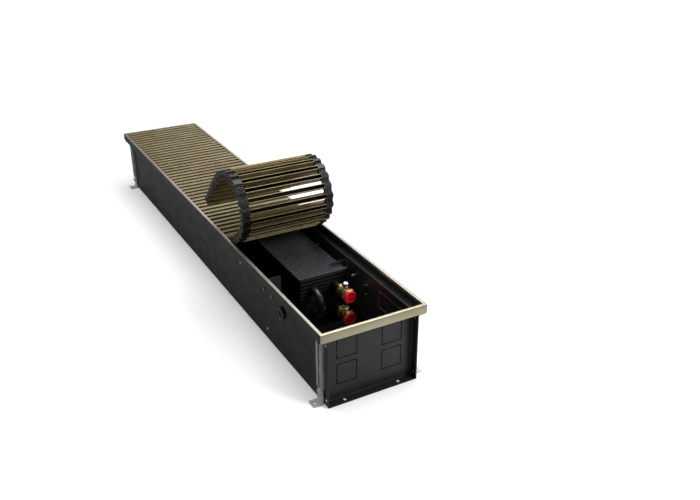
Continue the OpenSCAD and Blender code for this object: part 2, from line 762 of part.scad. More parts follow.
// End block under the slat's end: a tongue with an eye behind, a fork with its pin in front
module end_block(tongue, fork) {
    x0 = (pitch - block_w) / 2;
    groove_x = [(pitch - slat_w) / 2 - touch, (pitch + slat_w) / 2 - slat_t - touch];
    cheek_y = [0, block_l - knuckle_l];
    tongue_y = (block_l - knuckle_l) / 2;
    color("#2c2c2e") translate([0, block_y, 0]) difference() {
        union() {
            difference() {
                translate([x0, 0, -hinge_h]) cube([block_w, block_l, block_h]);
                for (x = groove_x) translate([x, -1, notch_h - hinge_h])
                    cube([slat_t + 2 * touch, block_l + 2, block_h]);
                for (y = cheek_y) translate([0, y - touch, 0]) rod_y(relief_r, knuckle_l + 2 * touch);
                translate([pitch, tongue_y - touch * 2, 0]) rod_y(relief_r, knuckle_l + 4 * touch);
            }
            if (tongue) translate([0, tongue_y, 0]) {
                rod_y(knuckle_r, knuckle_l);
                translate([0, 0, -knuckle_r]) cube([x0 + 1, knuckle_l, 2 * knuckle_r]);
            }
            if (fork) {
                for (y = cheek_y) translate([pitch, y, 0]) {
                    rod_y(knuckle_r, knuckle_l);
                    translate([-x0 - 1, 0, -knuckle_r]) cube([x0 + 1, knuckle_l, 2 * knuckle_r]);
                }
                translate([pitch, 0, 0]) rod_y(pin_r, block_l);
            }
        }
        if (tongue) translate([0, tongue_y - 1, 0]) rod_y(pin_r + run, knuckle_l + 2);
    }
}

module end_blocks(tongue, fork) {
    both_sides() end_block(tongue, fork);
}

// Where the hinge at the rear of raised link i stands, and how far the link is turned
function heading(i) = i == 0 ? 0 : heading(i - 1) + bends[i - 1];
function hinge_at(i) = i == 1 ? [base_x, hinge_z]
    : hinge_at(i - 1) + pitch * [cos(heading(i - 1)), sin(heading(i - 1))];

module raised_link(i) {
    at = hinge_at(i);
    translate([at.x, 0, at.y]) rotate([0, -heading(i), 0]) {
        slat();
        end_blocks(true, i < raised_count);
    }
}

module flat_links() {
    for (i = [1 : slat_count - raised_count])
        translate([base_x - i * pitch, 0, hinge_z]) children();
}

module flat_slats() { flat_links() slat(); }

module flat_slat_ends() {
    rearmost = slat_count - raised_count;
    for (i = [1 : rearmost]) translate([base_x - i * pitch, 0, hinge_z])
        end_blocks(i < rearmost, true);
}

// ---------------------------------------------------------------- nodes

trough();
rim_left();
rim_right();
front_end_panel();
rear_end_panel();
frame_rail_left();
frame_rail_right();
frame_rail_front();
frame_rail_rear();
panel_rivets();
wall_rivets();
wall_screws();
cable_covers();
foot_bolts();
foot_channel_front_left();
foot_channel_front_right();
foot_channel_rear_left();
foot_channel_rear_right();
foot_front_left();
foot_front_right();
foot_rear_left();
foot_rear_right();
fins();
end_fins();
core_tubes();
return_bends();
exchanger_bracket_front();
exchanger_bracket_rear();
supply_connector();
return_connector();
air_vent_screw();
drain_plug();
supply_cap();
return_cap();
flat_slats();
flat_slat_ends();
for (i = [1 : raised_count]) raised_link(i);
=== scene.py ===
"""Trench convector heater with a roll-up grille, dressed and lit like its studio photograph.

The part frame has +X along the trench towards the pipe connections, +Y across it, +Z up, and its
origin on the floor under the middle of the casing. Sizes are in millimetres until a surface
becomes a mesh, and angles are in degrees.
"""

from __future__ import annotations

import json
import logging
import math
from dataclasses import dataclass, field
from enum import Enum
from typing import Mapping, Sequence

import bmesh
import bpy
import numpy as np
from mathutils import Matrix, Vector

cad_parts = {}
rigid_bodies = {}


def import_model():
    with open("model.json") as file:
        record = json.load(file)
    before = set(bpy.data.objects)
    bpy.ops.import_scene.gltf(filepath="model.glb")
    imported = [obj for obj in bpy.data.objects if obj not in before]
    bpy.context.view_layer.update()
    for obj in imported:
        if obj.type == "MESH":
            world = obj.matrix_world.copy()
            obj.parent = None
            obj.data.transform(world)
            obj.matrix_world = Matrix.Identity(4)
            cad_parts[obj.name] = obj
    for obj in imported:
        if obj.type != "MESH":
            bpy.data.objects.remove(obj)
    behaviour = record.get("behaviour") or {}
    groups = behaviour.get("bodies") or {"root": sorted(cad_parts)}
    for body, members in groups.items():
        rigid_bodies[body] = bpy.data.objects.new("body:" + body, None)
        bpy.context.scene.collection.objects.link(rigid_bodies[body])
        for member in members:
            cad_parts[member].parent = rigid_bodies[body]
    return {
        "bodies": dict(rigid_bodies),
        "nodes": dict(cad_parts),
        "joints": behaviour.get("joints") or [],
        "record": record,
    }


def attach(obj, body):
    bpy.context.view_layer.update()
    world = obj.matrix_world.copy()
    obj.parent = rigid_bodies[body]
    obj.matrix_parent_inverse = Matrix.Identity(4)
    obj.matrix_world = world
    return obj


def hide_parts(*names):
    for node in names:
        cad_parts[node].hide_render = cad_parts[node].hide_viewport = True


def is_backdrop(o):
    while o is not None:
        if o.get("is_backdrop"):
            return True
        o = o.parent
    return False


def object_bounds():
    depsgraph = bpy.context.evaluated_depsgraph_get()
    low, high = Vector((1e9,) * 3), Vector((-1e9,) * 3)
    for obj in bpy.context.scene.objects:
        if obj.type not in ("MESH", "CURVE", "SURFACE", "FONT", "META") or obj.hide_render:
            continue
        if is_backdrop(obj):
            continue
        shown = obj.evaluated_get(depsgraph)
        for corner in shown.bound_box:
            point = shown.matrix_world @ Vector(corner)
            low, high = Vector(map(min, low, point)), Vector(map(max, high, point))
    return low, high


LOG = logging.getLogger("trench_heater")
MM = 0.001
SAME_POINT = 2e-6  # metres between points that are merged
SLIVER = 1e-6  # metres of edge that is dissolved
CRISP = 30.0  # degrees beyond which edges of turned and punched metal stay sharp
SOFT = 50.0  # degrees beyond which edges of moulded and polished pieces do
BODY_OF_NOISE = (0.35, 0.65)  # the middle values, where a soft noise spends most of its area
WHOLE_RANGE = (0.0, 1.0)

Pair = tuple[float, float]
Triple = tuple[float, float, float]


# ---------------------------------------------------------------- colour and nodes


def linear(tone: str) -> tuple[float, float, float, float]:
    """Turns an sRGB hex colour such as "#b9ae92" into linear RGBA."""
    channels = [int(tone[i : i + 2], 16) / 255 for i in (1, 3, 5)]
    return (*[c / 12.92 if c <= 0.04045 else ((c + 0.055) / 1.055) ** 2.4 for c in channels], 1.0)


def add_node(
    tree: bpy.types.NodeTree,
    kind: str,
    settings: Mapping[object, object] | None = None,
    links: Mapping[object, bpy.types.NodeSocket] | None = None,
) -> bpy.types.Node:
    """Adds one node to a tree.

    Args:
        tree: The material's or the world's node tree.
        kind: Blender's name for the node's type.
        settings: Values by input name or number, or by the node's own property.
        links: The sockets that feed the node, by input name or number.

    Returns:
        The new node.
    """
    made = tree.nodes.new(kind)
    for name, value in (settings or {}).items():
        if isinstance(name, int) or name in made.inputs:
            made.inputs[name].default_value = value
        else:
            setattr(made, name, value)
    for name, source in (links or {}).items():
        tree.links.new(source, made.inputs[name])
    return made


class Noise(Enum):
    """How broken up a soft random pattern is, as its layers of finer noise."""

    SMOOTH = 2.0
    PLAIN = 3.0
    STREAKY = 4.0
    BROKEN = 5.0


@dataclass(frozen=True)
class Dressing:
    """One material while its surface is being worked out.

    Attributes:
        tree: The material's node tree.
        surface: Its surface shader.
        place: Where a point lies on the object, in metres.
    """

    tree: bpy.types.NodeTree
    surface: bpy.types.Node
    place: bpy.types.NodeSocket

    def cloud(
        self, size: float, stretch: Triple = (1.0, 1.0, 1.0), noise: Noise = Noise.PLAIN
    ) -> bpy.types.NodeSocket:
        """Lays a soft random pattern over the object.

        Args:
            size: Width of the pattern's features, in mm.
            stretch: How far the features are drawn out in X, Y and Z.
            noise: How broken up they are.

        Returns:
            The pattern's value.
        """
        falloff = 0.55  # strength of each finer layer against the one before it
        scale = tuple(1.0 / (size * MM * s) for s in stretch)
        laid = add_node(self.tree, "ShaderNodeMapping", {"Scale": scale}, {"Vector": self.place})
        pattern = add_node(
            self.tree,
            "ShaderNodeTexNoise",
            {"Scale": 1.0, "Detail": noise.value, "Roughness": falloff},
            {"Vector": laid.outputs["Vector"]},
        )
        return pattern.outputs["Fac"]

    def drift(
        self,
        pattern: bpy.types.NodeSocket,
        near: bpy.types.NodeSocket | str,
        far: str,
        most: float = 1.0,
        reach: Pair = BODY_OF_NOISE,
    ) -> bpy.types.NodeSocket:
        """Drifts from one colour to another as a pattern rises.

        Args:
            pattern: The pattern's value.
            near: The colour where the pattern is low, in hex or from a socket.
            far: The colour that it drifts to, in hex.
            most: Largest share of the far colour.
            reach: The pattern's values between which it drifts.

        Returns:
            The colour.
        """
        low, high = reach
        share = add_node(
            self.tree,
            "ShaderNodeMapRange",
            {"From Min": low, "From Max": high, "To Min": 0.0, "To Max": most},
            {"Value": pattern},
        )
        settings = {"data_type": "RGBA", 7: linear(far)}
        links = {"Factor": share.outputs["Result"]}
        if isinstance(near, str):
            settings[6] = linear(near)
        else:
            links[6] = near
        return add_node(self.tree, "ShaderNodeMix", settings, links).outputs[2]

    def gloss(
        self, pattern: bpy.types.NodeSocket, rough: Pair, reach: Pair = BODY_OF_NOISE
    ) -> None:
        """Lets the roughness follow a pattern.

        Args:
            pattern: The pattern's value.
            rough: Roughness where the pattern is low and where it is high.
            reach: The pattern's values between which the roughness changes.
        """
        (low, high), (least, most) = reach, rough
        spread = add_node(
            self.tree,
            "ShaderNodeMapRange",
            {"From Min": low, "From Max": high, "To Min": least, "To Max": most},
            {"Value": pattern},
        )
        self.tree.links.new(spread.outputs["Result"], self.surface.inputs["Roughness"])

    def relief(self, pattern: bpy.types.NodeSocket, depth: float) -> None:
        """Raises the surface by a pattern.

        Args:
            pattern: The pattern's value, as a height.
            depth: Height of the relief, in mm.
        """
        settings = {"Strength": 1.0, "Distance": depth * MM}
        bump = add_node(self.tree, "ShaderNodeBump", settings, {"Height": pattern})
        self.tree.links.new(bump.outputs["Normal"], self.surface.inputs["Normal"])

    def even(self, name: str, amount: float) -> None:
        """Sets one of the surface's own numbers, the same all over."""
        self.surface.inputs[name].default_value = amount


# ---------------------------------------------------------------- finishes


@dataclass(frozen=True)
class Finish:
    """A finish as its maker would order it.

    Attributes:
        name: The material's name in the scene.
        slot: The record's material slot that it stands for.
        tone: Its usual colour.
        tone_far: The colour that it drifts to in patches.
        rough: Lowest and highest roughness over the surface.
    """

    name: str
    slot: str
    tone: str
    tone_far: str
    rough: Pair

    def material(self) -> bpy.types.Material:
        """Gives the finish's material, made the first time that it is asked for.

        Returns:
            The material.
        """
        made = bpy.data.materials.get(self.name)
        if made is None:
            made = bpy.data.materials.new(self.name)
            made.use_nodes = True
            tree = made.node_tree
            surface = tree.nodes["Principled BSDF"]
            place = add_node(tree, "ShaderNodeTexCoord").outputs["Object"]
            colour = self.dress(Dressing(tree, surface, place))
            tree.links.new(colour, surface.inputs["Base Color"])
        return made

    def dress(self, skin: Dressing) -> bpy.types.NodeSocket:
        """Gives the surface its gloss and relief, and returns its colour."""
        raise NotImplementedError


@dataclass(frozen=True)
class PowderCoat(Finish):
    """Black coating baked on steel: satin, faintly orange-peeled, with rubbed patches.

    Attributes:
        peel: Width of the orange peel's bumps, in mm.
        peel_depth: Height of the orange peel, in mm.
        specular: How strongly the clear skin mirrors, 0.5 for a plain dielectric.
        patch: Width of the patches of another tone, in mm.
        rub: Width of the rubbed patches, in mm.
        rub_stretch: How far the rubbed patches are drawn out in X, Y and Z.
        painted_light_above: Height, in mm, above which the coat is painted lighter, a painted
            highlight on the tops.
        painted_light_edge: Height over which the painted highlight fades in, in mm.
        painted_light_tone: Colour of the painted highlight.
    """

    peel: float = 1.6
    peel_depth: float = 0.02
    specular: float = 0.5
    patch: float = 90.0
    rub: float = 16.0
    rub_stretch: Triple = (2.2, 2.2, 1.0)
    painted_light_above: float | None = None
    painted_light_edge: float = 0.2
    painted_light_tone: str = "#38383c"

    def dress(self, skin: Dressing) -> bpy.types.NodeSocket:
        """Drifts in tone and gloss over a hand's width, with orange peel in the light.

        Args:
            skin: The material being made.

        Returns:
            The colour.
        """
        colour = skin.drift(skin.cloud(self.patch), self.tone, self.tone_far)
        # Painted highlight: above this height the colour is painted lighter, for the light falling
        # on the tops.
        if self.painted_light_above is not None:
            split = add_node(skin.tree, "ShaderNodeSeparateXYZ", {}, {"Vector": skin.place})
            reach = (self.painted_light_above * MM, (self.painted_light_above + self.painted_light_edge) * MM)
            colour = skin.drift(split.outputs["Z"], colour, self.painted_light_tone, 1.0, reach)
        skin.gloss(skin.cloud(self.rub, self.rub_stretch, Noise.BROKEN), self.rough)
        skin.even("Specular IOR Level", self.specular)
        skin.relief(skin.cloud(self.peel, noise=Noise.SMOOTH), self.peel_depth)
        return colour


@dataclass(frozen=True)
class AnodisedExtrusion(Finish):
    """Extruded aluminium, anodised: fine die lines along the profile under a tinted skin.

    Attributes:
        along: Direction of the die lines, as a stretch in X, Y and Z.
        line: Spacing of the die lines, in mm, coarser than the real 0.1 mm so that they show.
        metallic: Share of bare metal under the skin; an etched finish scatters the rest.
        line_depth: Depth of the die lines, in mm.
        line_share: How much of the far tone the die lines take.
        batch: Width over which the dye bath's tone drifts, in mm.
        batch_share: How far it drifts to the far tone.
    """

    along: Triple = (1.0, 60.0, 1.0)
    line: float = 0.5
    metallic: float = 1.0
    line_depth: float = 0.012
    line_share: float = 0.35
    batch: float = 60.0
    batch_share: float = 0.8

    def dress(self, skin: Dressing) -> bpy.types.NodeSocket:
        """Streaks the tone, gloss and relief along the profile.

        Args:
            skin: The material being made.

        Returns:
            The colour.
        """
        streaks = skin.cloud(self.line, self.along, Noise.STREAKY)
        bath = skin.drift(skin.cloud(self.batch), self.tone, self.tone_far, self.batch_share)
        skin.even("Metallic", self.metallic)
        skin.gloss(streaks, self.rough)
        skin.relief(streaks, self.line_depth)
        return skin.drift(streaks, bath, self.tone_far, self.line_share)


@dataclass(frozen=True)
class GalvanisedSheet(Finish):
    """Hot-dip galvanised steel: grey crystals of zinc, each with its own gloss.

    Attributes:
        spangle: Width of the zinc crystals, in mm.
        metallic: Share of bright metal; the dull zinc skin scatters the rest.
        haze: Width of the clouds of white rust, in mm.
        haze_tone: Colour of the white rust.
        haze_share: How thick it lies at most.
        pit: Width of the dents in the skin, in mm.
        pit_depth: Depth of the dents, in mm.
    """

    spangle: float = 7.0
    metallic: float = 0.85
    haze: float = 22.0
    haze_tone: str = "#8d9093"
    haze_share: float = 0.4
    pit: float = 0.9
    pit_depth: float = 0.01

    def dress(self, skin: Dressing) -> bpy.types.NodeSocket:
        """Gives every zinc crystal its own tone and gloss.

        Args:
            skin: The material being made.

        Returns:
            The colour.
        """
        laid = add_node(
            skin.tree,
            "ShaderNodeTexVoronoi",
            {"Scale": 1.0 / (self.spangle * MM), "Randomness": 1.0},
            {"Vector": skin.place},
        )
        crystal = add_node(
            skin.tree, "ShaderNodeSeparateColor", {}, {"Color": laid.outputs["Color"]}
        ).outputs["Red"]
        colour = skin.drift(crystal, self.tone, self.tone_far, 1.0, WHOLE_RANGE)
        skin.even("Metallic", self.metallic)
        skin.gloss(crystal, self.rough, WHOLE_RANGE)
        skin.relief(skin.cloud(self.pit), self.pit_depth)
        rust = skin.cloud(self.haze, noise=Noise.BROKEN)
        return skin.drift(rust, colour, self.haze_tone, self.haze_share)


@dataclass(frozen=True)
class MouldedPlastic(Finish):
    """Injection-moulded plastic with a fine spark-eroded grain.

    Attributes:
        grain: Width of the grain, in mm, coarser than the real 0.1 mm so that it shows.
        specular: How strongly the skin mirrors, 0.5 for a plain dielectric.
        grain_depth: Depth of the grain, in mm.
        flow: Width of the flow marks, in mm.
        flow_stretch: How far the flow marks are drawn out in X, Y and Z.
    """

    grain: float = 0.35
    specular: float = 0.5
    grain_depth: float = 0.012
    flow: float = 14.0
    flow_stretch: Triple = (1.0, 2.5, 1.0)

    def dress(self, skin: Dressing) -> bpy.types.NodeSocket:
        """Keeps one tone with faint flow marks, and a fine matt grain.

        Args:
            skin: The material being made.

        Returns:
            The colour.
        """
        flow = skin.cloud(self.flow, self.flow_stretch)
        skin.gloss(flow, self.rough)
        skin.even("Specular IOR Level", self.specular)
        skin.relief(skin.cloud(self.grain, noise=Noise.SMOOTH), self.grain_depth)
        return skin.drift(flow, self.tone, self.tone_far)


@dataclass(frozen=True)
class TurnedMetal(Finish):
    """Metal turned on a lathe or cold-formed: fine tool marks and handling haze.

    Attributes:
        marks: Spacing of the tool marks, in mm, coarser than the real 0.1 mm so that they show.
        across: Stretch of the tool marks in X, Y and Z.
        metallic: Share of bright metal; plating scatters the rest.
        marks_depth: Depth of the tool marks, in mm.
        haze: Width of the handled patches, in mm.
    """

    marks: float = 0.4
    across: Triple = (1.0, 14.0, 14.0)
    metallic: float = 1.0
    marks_depth: float = 0.006
    haze: float = 6.0

    def dress(self, skin: Dressing) -> bpy.types.NodeSocket:
        """Lines the surface with tool marks and dulls it where it was handled.

        Args:
            skin: The material being made.

        Returns:
            The colour.
        """
        haze = skin.cloud(self.haze, noise=Noise.BROKEN)
        skin.even("Metallic", self.metallic)
        skin.gloss(haze, self.rough)
        skin.relief(skin.cloud(self.marks, self.across), self.marks_depth)
        return skin.drift(haze, self.tone, self.tone_far)


@dataclass(frozen=True)
class FinishRange:
    """The finishes that the heater is made in."""

    # Powder baked on folded sheet: near black and satin, with a soft orange peel in the light.
    casing: Finish = PowderCoat(
        "black powder-coated sheet", "casing_black", "#19191b", "#202022", (0.34, 0.46)
    )
    # Stoved lacquer over a pressed part: smoother, so its edges catch the lamps. Its tone is
    # painted lighter than the casing's, a painted lift of the shade it stands in.
    bracket: Finish = PowderCoat(
        "black bracket painted lighter", "casing_black", "#2c2c2f", "#38383b", (0.26, 0.36), peel=1.2
    )
    cover: Finish = PowderCoat(
        "black lacquered cover", "casing_black", "#0b0b0c", "#101011", (0.22, 0.32), peel=2.5
    )
    # Dipped lacquer: blacker than the powder, with a painted highlight that greys the tops of the
    # fins.
    exchanger: Finish = PowderCoat(
        "black dipped exchanger", "exchanger_black", "#0b0b0c", "#101012", (0.36, 0.5),
        peel=0.9, peel_depth=0.012, painted_light_above=122.3,
    )
    end_fin: Finish = PowderCoat(
        "black dipped end fin", "exchanger_black", "#0d0d0f", "#141416", (0.4, 0.52),
        peel=0.9, peel_depth=0.012, specular=0.35,
    )
    tube: Finish = PowderCoat(
        "black dipped tube", "exchanger_black", "#0a0a0b", "#121214", (0.24, 0.36),
        peel=1.4, peel_depth=0.015,
    )
    # Painted shadow of a slit: a near-black, dead matt strip laid over it that swallows the light.
    punched: Finish = PowderCoat(
        "painted slit shadow", "casing_black", "#040404", "#070707", (0.8, 0.95),
        peel=0.6, peel_depth=0.01, specular=0.1,
    )
    # Bronze anodising: a metallic sheen drawn out along the rail. The side rails are painted paler
    # than the end rails, a painted highlight where their lips face the lamps.
    side_rail: Finish = AnodisedExtrusion(
        "bronze anodised side rail", "frame_bronze", "#dad7cb", "#d3cebe", (0.3, 0.36),
        along=(60.0, 1.0, 1.0), line_depth=0.003,
    )
    end_rail: Finish = AnodisedExtrusion(
        "bronze anodised end rail", "frame_bronze", "#bbb69d", "#aca688", (0.26, 0.38),
        line_depth=0.005,
    )
    slat: Finish = AnodisedExtrusion(
        "bronze anodised slat", "slat_bronze", "#9c8f6e", "#857754", (0.24, 0.34),
        metallic=0.8, line_depth=0.008,
    )
    # Painted shade inside the slat's hollow: dark brown and dull, for the shade in the channel.
    slat_painted_shade: Finish = AnodisedExtrusion(
        "painted shade inside a slat", "slat_bronze", "#1c170d", "#120f08", (0.55, 0.7),
        metallic=0.4,
    )
    # Eroded mould: dark grey with a low sheen.
    block: Finish = MouldedPlastic(
        "dark grey moulded end block", "black_plastic", "#0b0c0e", "#121316", (0.24, 0.34),
        grain=0.6, specular=0.4, grain_depth=0.003,
    )
    # Polished mould: a clean signal red with soft highlights.
    cap: Finish = MouldedPlastic(
        "red transport cap", "red_plastic", "#f22433", "#de1826", (0.26, 0.36)
    )
    # Zinc: pale grey crystals that glint one by one.
    channel: Finish = GalvanisedSheet(
        "galvanised channel", "galvanised_steel", "#dededa", "#cbccca", (0.34, 0.42),
        spangle=5.0, metallic=0.6,
    )
    foot: Finish = GalvanisedSheet(
        "zinc-plated foot", "galvanised_steel", "#eaeae7", "#dcdddb", (0.3, 0.4),
        spangle=11.0, metallic=0.45,
    )
    # Bright plating: small white glints on black walls.
    screw: Finish = TurnedMetal(
        "zinc-plated screw", "bright_steel", "#f4f4f3", "#e4e4e3", (0.2, 0.3), metallic=0.45
    )
    wall_screw: Finish = TurnedMetal(
        "dull zinc-plated screw", "bright_steel", "#b4b4b3", "#989897", (0.3, 0.4), metallic=0.7
    )
    rivet: Finish = TurnedMetal(
        "steel rivet", "bright_steel", "#f4f4f3", "#e2e2e1", (0.2, 0.3),
        marks=0.5, across=(1.0, 1.0, 1.0), metallic=0.35,
    )
    # Turned and handled: warm yellow with bright facets.
    brass: Finish = TurnedMetal("turned brass", "brass", "#f0d9a4", "#e0be80", (0.2, 0.34))
    # Plated on polished metal: a near mirror.
    chrome: Finish = TurnedMetal("chromed knob", "chrome", "#eceef0", "#dcdfe2", (0.06, 0.14))


# ---------------------------------------------------------------- surfaces


class Axis(Enum):
    """Direction that an outline is run along: the two axes it is drawn in, then its own."""

    X = (1, 2, 0)
    Y = (0, 2, 1)
    Z = (0, 1, 2)

    def place(self, outline: np.ndarray, along: np.ndarray | float) -> np.ndarray:
        """Puts flat outlines into space.

        Args:
            outline: Points (..., 2) on the two drawing axes.
            along: Where they lie on this axis, one number or one for each point.

        Returns:
            Points (..., 3).
        """
        points = np.empty((*outline.shape[:-1], 3))
        points[..., list(self.value[:2])] = outline
        points[..., self.value[2]] = along
        return points


@dataclass
class Surface:
    """A closed mesh in the making.

    Attributes:
        points: Points (n, 3), in mm.
        faces: Faces by point number.
    """

    points: np.ndarray
    faces: list[list[int]]

    def copies(self, offsets: Sequence[Sequence[float]] | np.ndarray) -> Surface:
        """Repeats the surface at each of the offsets (n, 3)."""
        return joined([Surface(self.points + step, self.faces) for step in np.asarray(offsets)])

    def mirrored(self, axis: int) -> Surface:
        """Mirrors the surface about the middle of the trench on one axis."""
        flip = np.where(np.arange(3) == axis, -1.0, 1.0)
        return Surface(self.points * flip, [face[::-1] for face in self.faces])

    def turned(self, origin: np.ndarray, heading: float) -> Surface:
        """Lifts the surface's +X about Y, then moves the surface.

        Args:
            origin: Where the surface's own origin goes.
            heading: Angle that +X is lifted by, in degrees.

        Returns:
            The surface in its new place.
        """
        c, s = math.cos(math.radians(heading)), math.sin(math.radians(heading))
        turn = np.array([[c, 0.0, s], [0.0, 1.0, 0.0], [-s, 0.0, c]])
        return Surface(self.points @ turn + origin, self.faces)


def joined(surfaces: Sequence[Surface]) -> Surface:
    """Puts several surfaces into one.

    Args:
        surfaces: The surfaces, each with faces by its own point numbers.

    Returns:
        One surface, with their points one after the other.
    """
    starts = np.cumsum([0] + [len(s.points) for s in surfaces[:-1]]).tolist()
    faces = [
        [corner + start for corner in face]
        for start, surface in zip(starts, surfaces)
        for face in surface.faces
    ]
    return Surface(np.concatenate([s.points for s in surfaces]), faces)


def skinned(rows: np.ndarray) -> Surface:
    """Covers a grid of points with faces; each row closes on itself and both ends are filled.

    Args:
        rows: Points (m, n, 3), one row of n points at each of m stations.

    Returns:
        The closed surface.
    """
    m, n = rows.shape[:2]
    index = np.arange(m * n).reshape(m, n)
    across = np.concatenate([index, index[:, :1]], axis=1)
    quads = np.stack([across[:-1, :-1], across[:-1, 1:], across[1:, 1:], across[1:, :-1]], -1)
    faces = quads.reshape(-1, 4).tolist() + [index[0, ::-1].tolist(), index[-1].tolist()]
    return Surface(rows.reshape(-1, 3), faces)


def rounded(
    corners: Sequence[Sequence[float]], cut: float | Sequence[float], steps: int = 3
) -> np.ndarray:
    """Rounds the corners of a closed outline.

    Each corner becomes a parabola, (1-s)^2 a + 2 s (1-s) corner + s^2 b, from the point a before
    it to the point b after it.

    Args:
        corners: The outline's corners.
        cut: Distance from each corner to its a and b, one number or one for each corner.
        steps: Straight pieces in each parabola.

    Returns:
        The outline's points (n, 2).
    """
    at = np.asarray(corners, float)
    before = at - np.roll(at, 1, axis=0)
    after = np.roll(at, -1, axis=0) - at
    before /= np.linalg.norm(before, axis=1, keepdims=True)
    after /= np.linalg.norm(after, axis=1, keepdims=True)
    reach = np.broadcast_to(np.asarray(cut, float), len(at))[:, None, None]
    s = np.linspace(0.0, 1.0, steps + 1)[None, :, None]
    start = at[:, None] - before[:, None] * reach
    stop = at[:, None] + after[:, None] * reach
    curve = (1 - s) ** 2 * start + 2 * s * (1 - s) * at[:, None] + s**2 * stop
    return curve.reshape(-1, 2)


def arc(centre: Pair, radius: float, start: float, stop: float, steps: int) -> np.ndarray:
    """Points on a circle, centre + radius (cos t, sin t), with t from start to stop degrees."""
    turn = np.radians(np.linspace(start, stop, steps + 1))
    return np.asarray(centre) + radius * np.stack([np.cos(turn), np.sin(turn)], axis=-1)


def inset(outline: np.ndarray, depth: float) -> np.ndarray:
    """Moves an outline inwards along its mitred normals.

    Args:
        outline: Counter-clockwise points (n, 2).
        depth: How far each edge moves.

    Returns:
        The smaller outline.
    """
    edge = np.roll(outline, -1, axis=0) - outline
    length = np.linalg.norm(edge, axis=1, keepdims=True)
    shortest = 1e-9  # keeps a point that is there twice from dividing by nothing
    normal = np.stack([-edge[:, 1], edge[:, 0]], axis=-1) / np.maximum(length, shortest)
    before = np.roll(normal, 1, axis=0)
    sharpest = 0.4  # keeps the mitre of a needle-like corner short
    scale = np.maximum(1.0 + np.sum(normal * before, axis=1, keepdims=True), sharpest)
    return outline + depth * (normal + before) / scale


def prism(axis: Axis, outline: np.ndarray, low: float, high: float, edge: float = 0.25) -> Surface:
    """Runs an outline along an axis, with a small bevel at each end.

    Args:
        axis: The axis.
        outline: Counter-clockwise points (n, 2).
        low: Where it starts on the axis.
        high: Where it ends.
        edge: Width of the bevel.

    Returns:
        The closed surface.
    """
    small = inset(outline, edge)
    rings = [(small, low), (outline, low + edge), (outline, high - edge), (small, high)]
    return skinned(np.stack([axis.place(shape, along) for shape, along in rings]))


def turned_on(axis: Axis, profile: Sequence[Sequence[float]], steps: int = 40) -> Surface:
    """Turns a profile round an axis; at turn t its other two axes are r cos t and r sin t.

    Args:
        axis: The axis.
        profile: Pairs of radius and height.
        steps: Points round the axis.

    Returns:
        The closed surface.
    """
    turn = np.linspace(0.0, 2 * np.pi, steps, endpoint=False)
    ring = np.stack([np.cos(turn), np.sin(turn)], axis=-1)
    return skinned(np.stack([axis.place(radius * ring, height) for radius, height in profile]))


@dataclass
class Piece:
    """A visible piece, which rides on a body and stands for CAD nodes.

    Attributes:
        name: Its name in the scene.
        body: The CAD body that carries it.
        finish: What it is finished in.
        stands_for: The CAD nodes that it replaces.
        surface: Its shape.
    """

    name: str
    body: str
    finish: Finish
    stands_for: Sequence[str]
    surface: Surface

    def build(self, sharp: float = 38.0) -> None:
        """Makes the mesh, with its doubles merged and its faces outwards, and reports it.

        Args:
            sharp: Angle in degrees beyond which an edge stays sharp.
        """
        mesh = bpy.data.meshes.new(self.name)
        mesh.from_pydata((self.surface.points * MM).tolist(), [], self.surface.faces)
        clean = bmesh.new()
        clean.from_mesh(mesh)
        bmesh.ops.remove_doubles(clean, verts=clean.verts, dist=SAME_POINT)
        bmesh.ops.dissolve_degenerate(clean, dist=SLIVER, edges=clean.edges)
        bmesh.ops.recalc_face_normals(clean, faces=clean.faces)
        clean.to_mesh(mesh)
        clean.free()
        mesh.shade_smooth()
        mesh.set_sharp_from_angle(angle=math.radians(sharp))
        mesh.materials.append(self.finish.material())
        made = bpy.data.objects.new(self.name, mesh)
        bpy.context.scene.collection.objects.link(made)
        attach(made, self.body)
        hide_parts(*self.stands_for)
        LOG.info("%s: %d faces", self.name, len(mesh.polygons))


# ---------------------------------------------------------------- casing


@dataclass
class Casing:
    """Folded trough with its end panels, feet, fixings and tubes, carried over from the CAD.

    Attributes:
        finishes: What the heater is finished in.
        nodes: The CAD's nodes by name.
    """

    finishes: FinishRange
    nodes: Mapping[str, bpy.types.Object]

    def build(self) -> None:
        """Puts each carried node in its own finish and reports it."""
        feet = [f"{end}_{side}" for end in ("front", "rear") for side in ("left", "right")]
        panels = ["front_end_panel", "rear_end_panel"]
        for finish, names in (
            (self.finishes.casing, ["trough", "rim_left", "rim_right", *panels]),
            (self.finishes.bracket, ["exchanger_bracket_front", "exchanger_bracket_rear"]),
            (self.finishes.cover, ["cable_covers"]),
            (self.finishes.rivet, ["panel_rivets", "wall_rivets"]),
            (self.finishes.wall_screw, ["wall_screws"]),
            (self.finishes.screw, ["foot_bolts"]),
            (self.finishes.tube, ["core_tubes", "return_bends"]),
            (self.finishes.channel, [f"foot_channel_{foot}" for foot in feet]),
            (self.finishes.foot, [f"foot_{foot}" for foot in feet]),
        ):
            for name in names:
                for place in self.nodes[name].material_slots:
                    place.material = finish.material()
                LOG.info("%s: %s", name, finish.name)


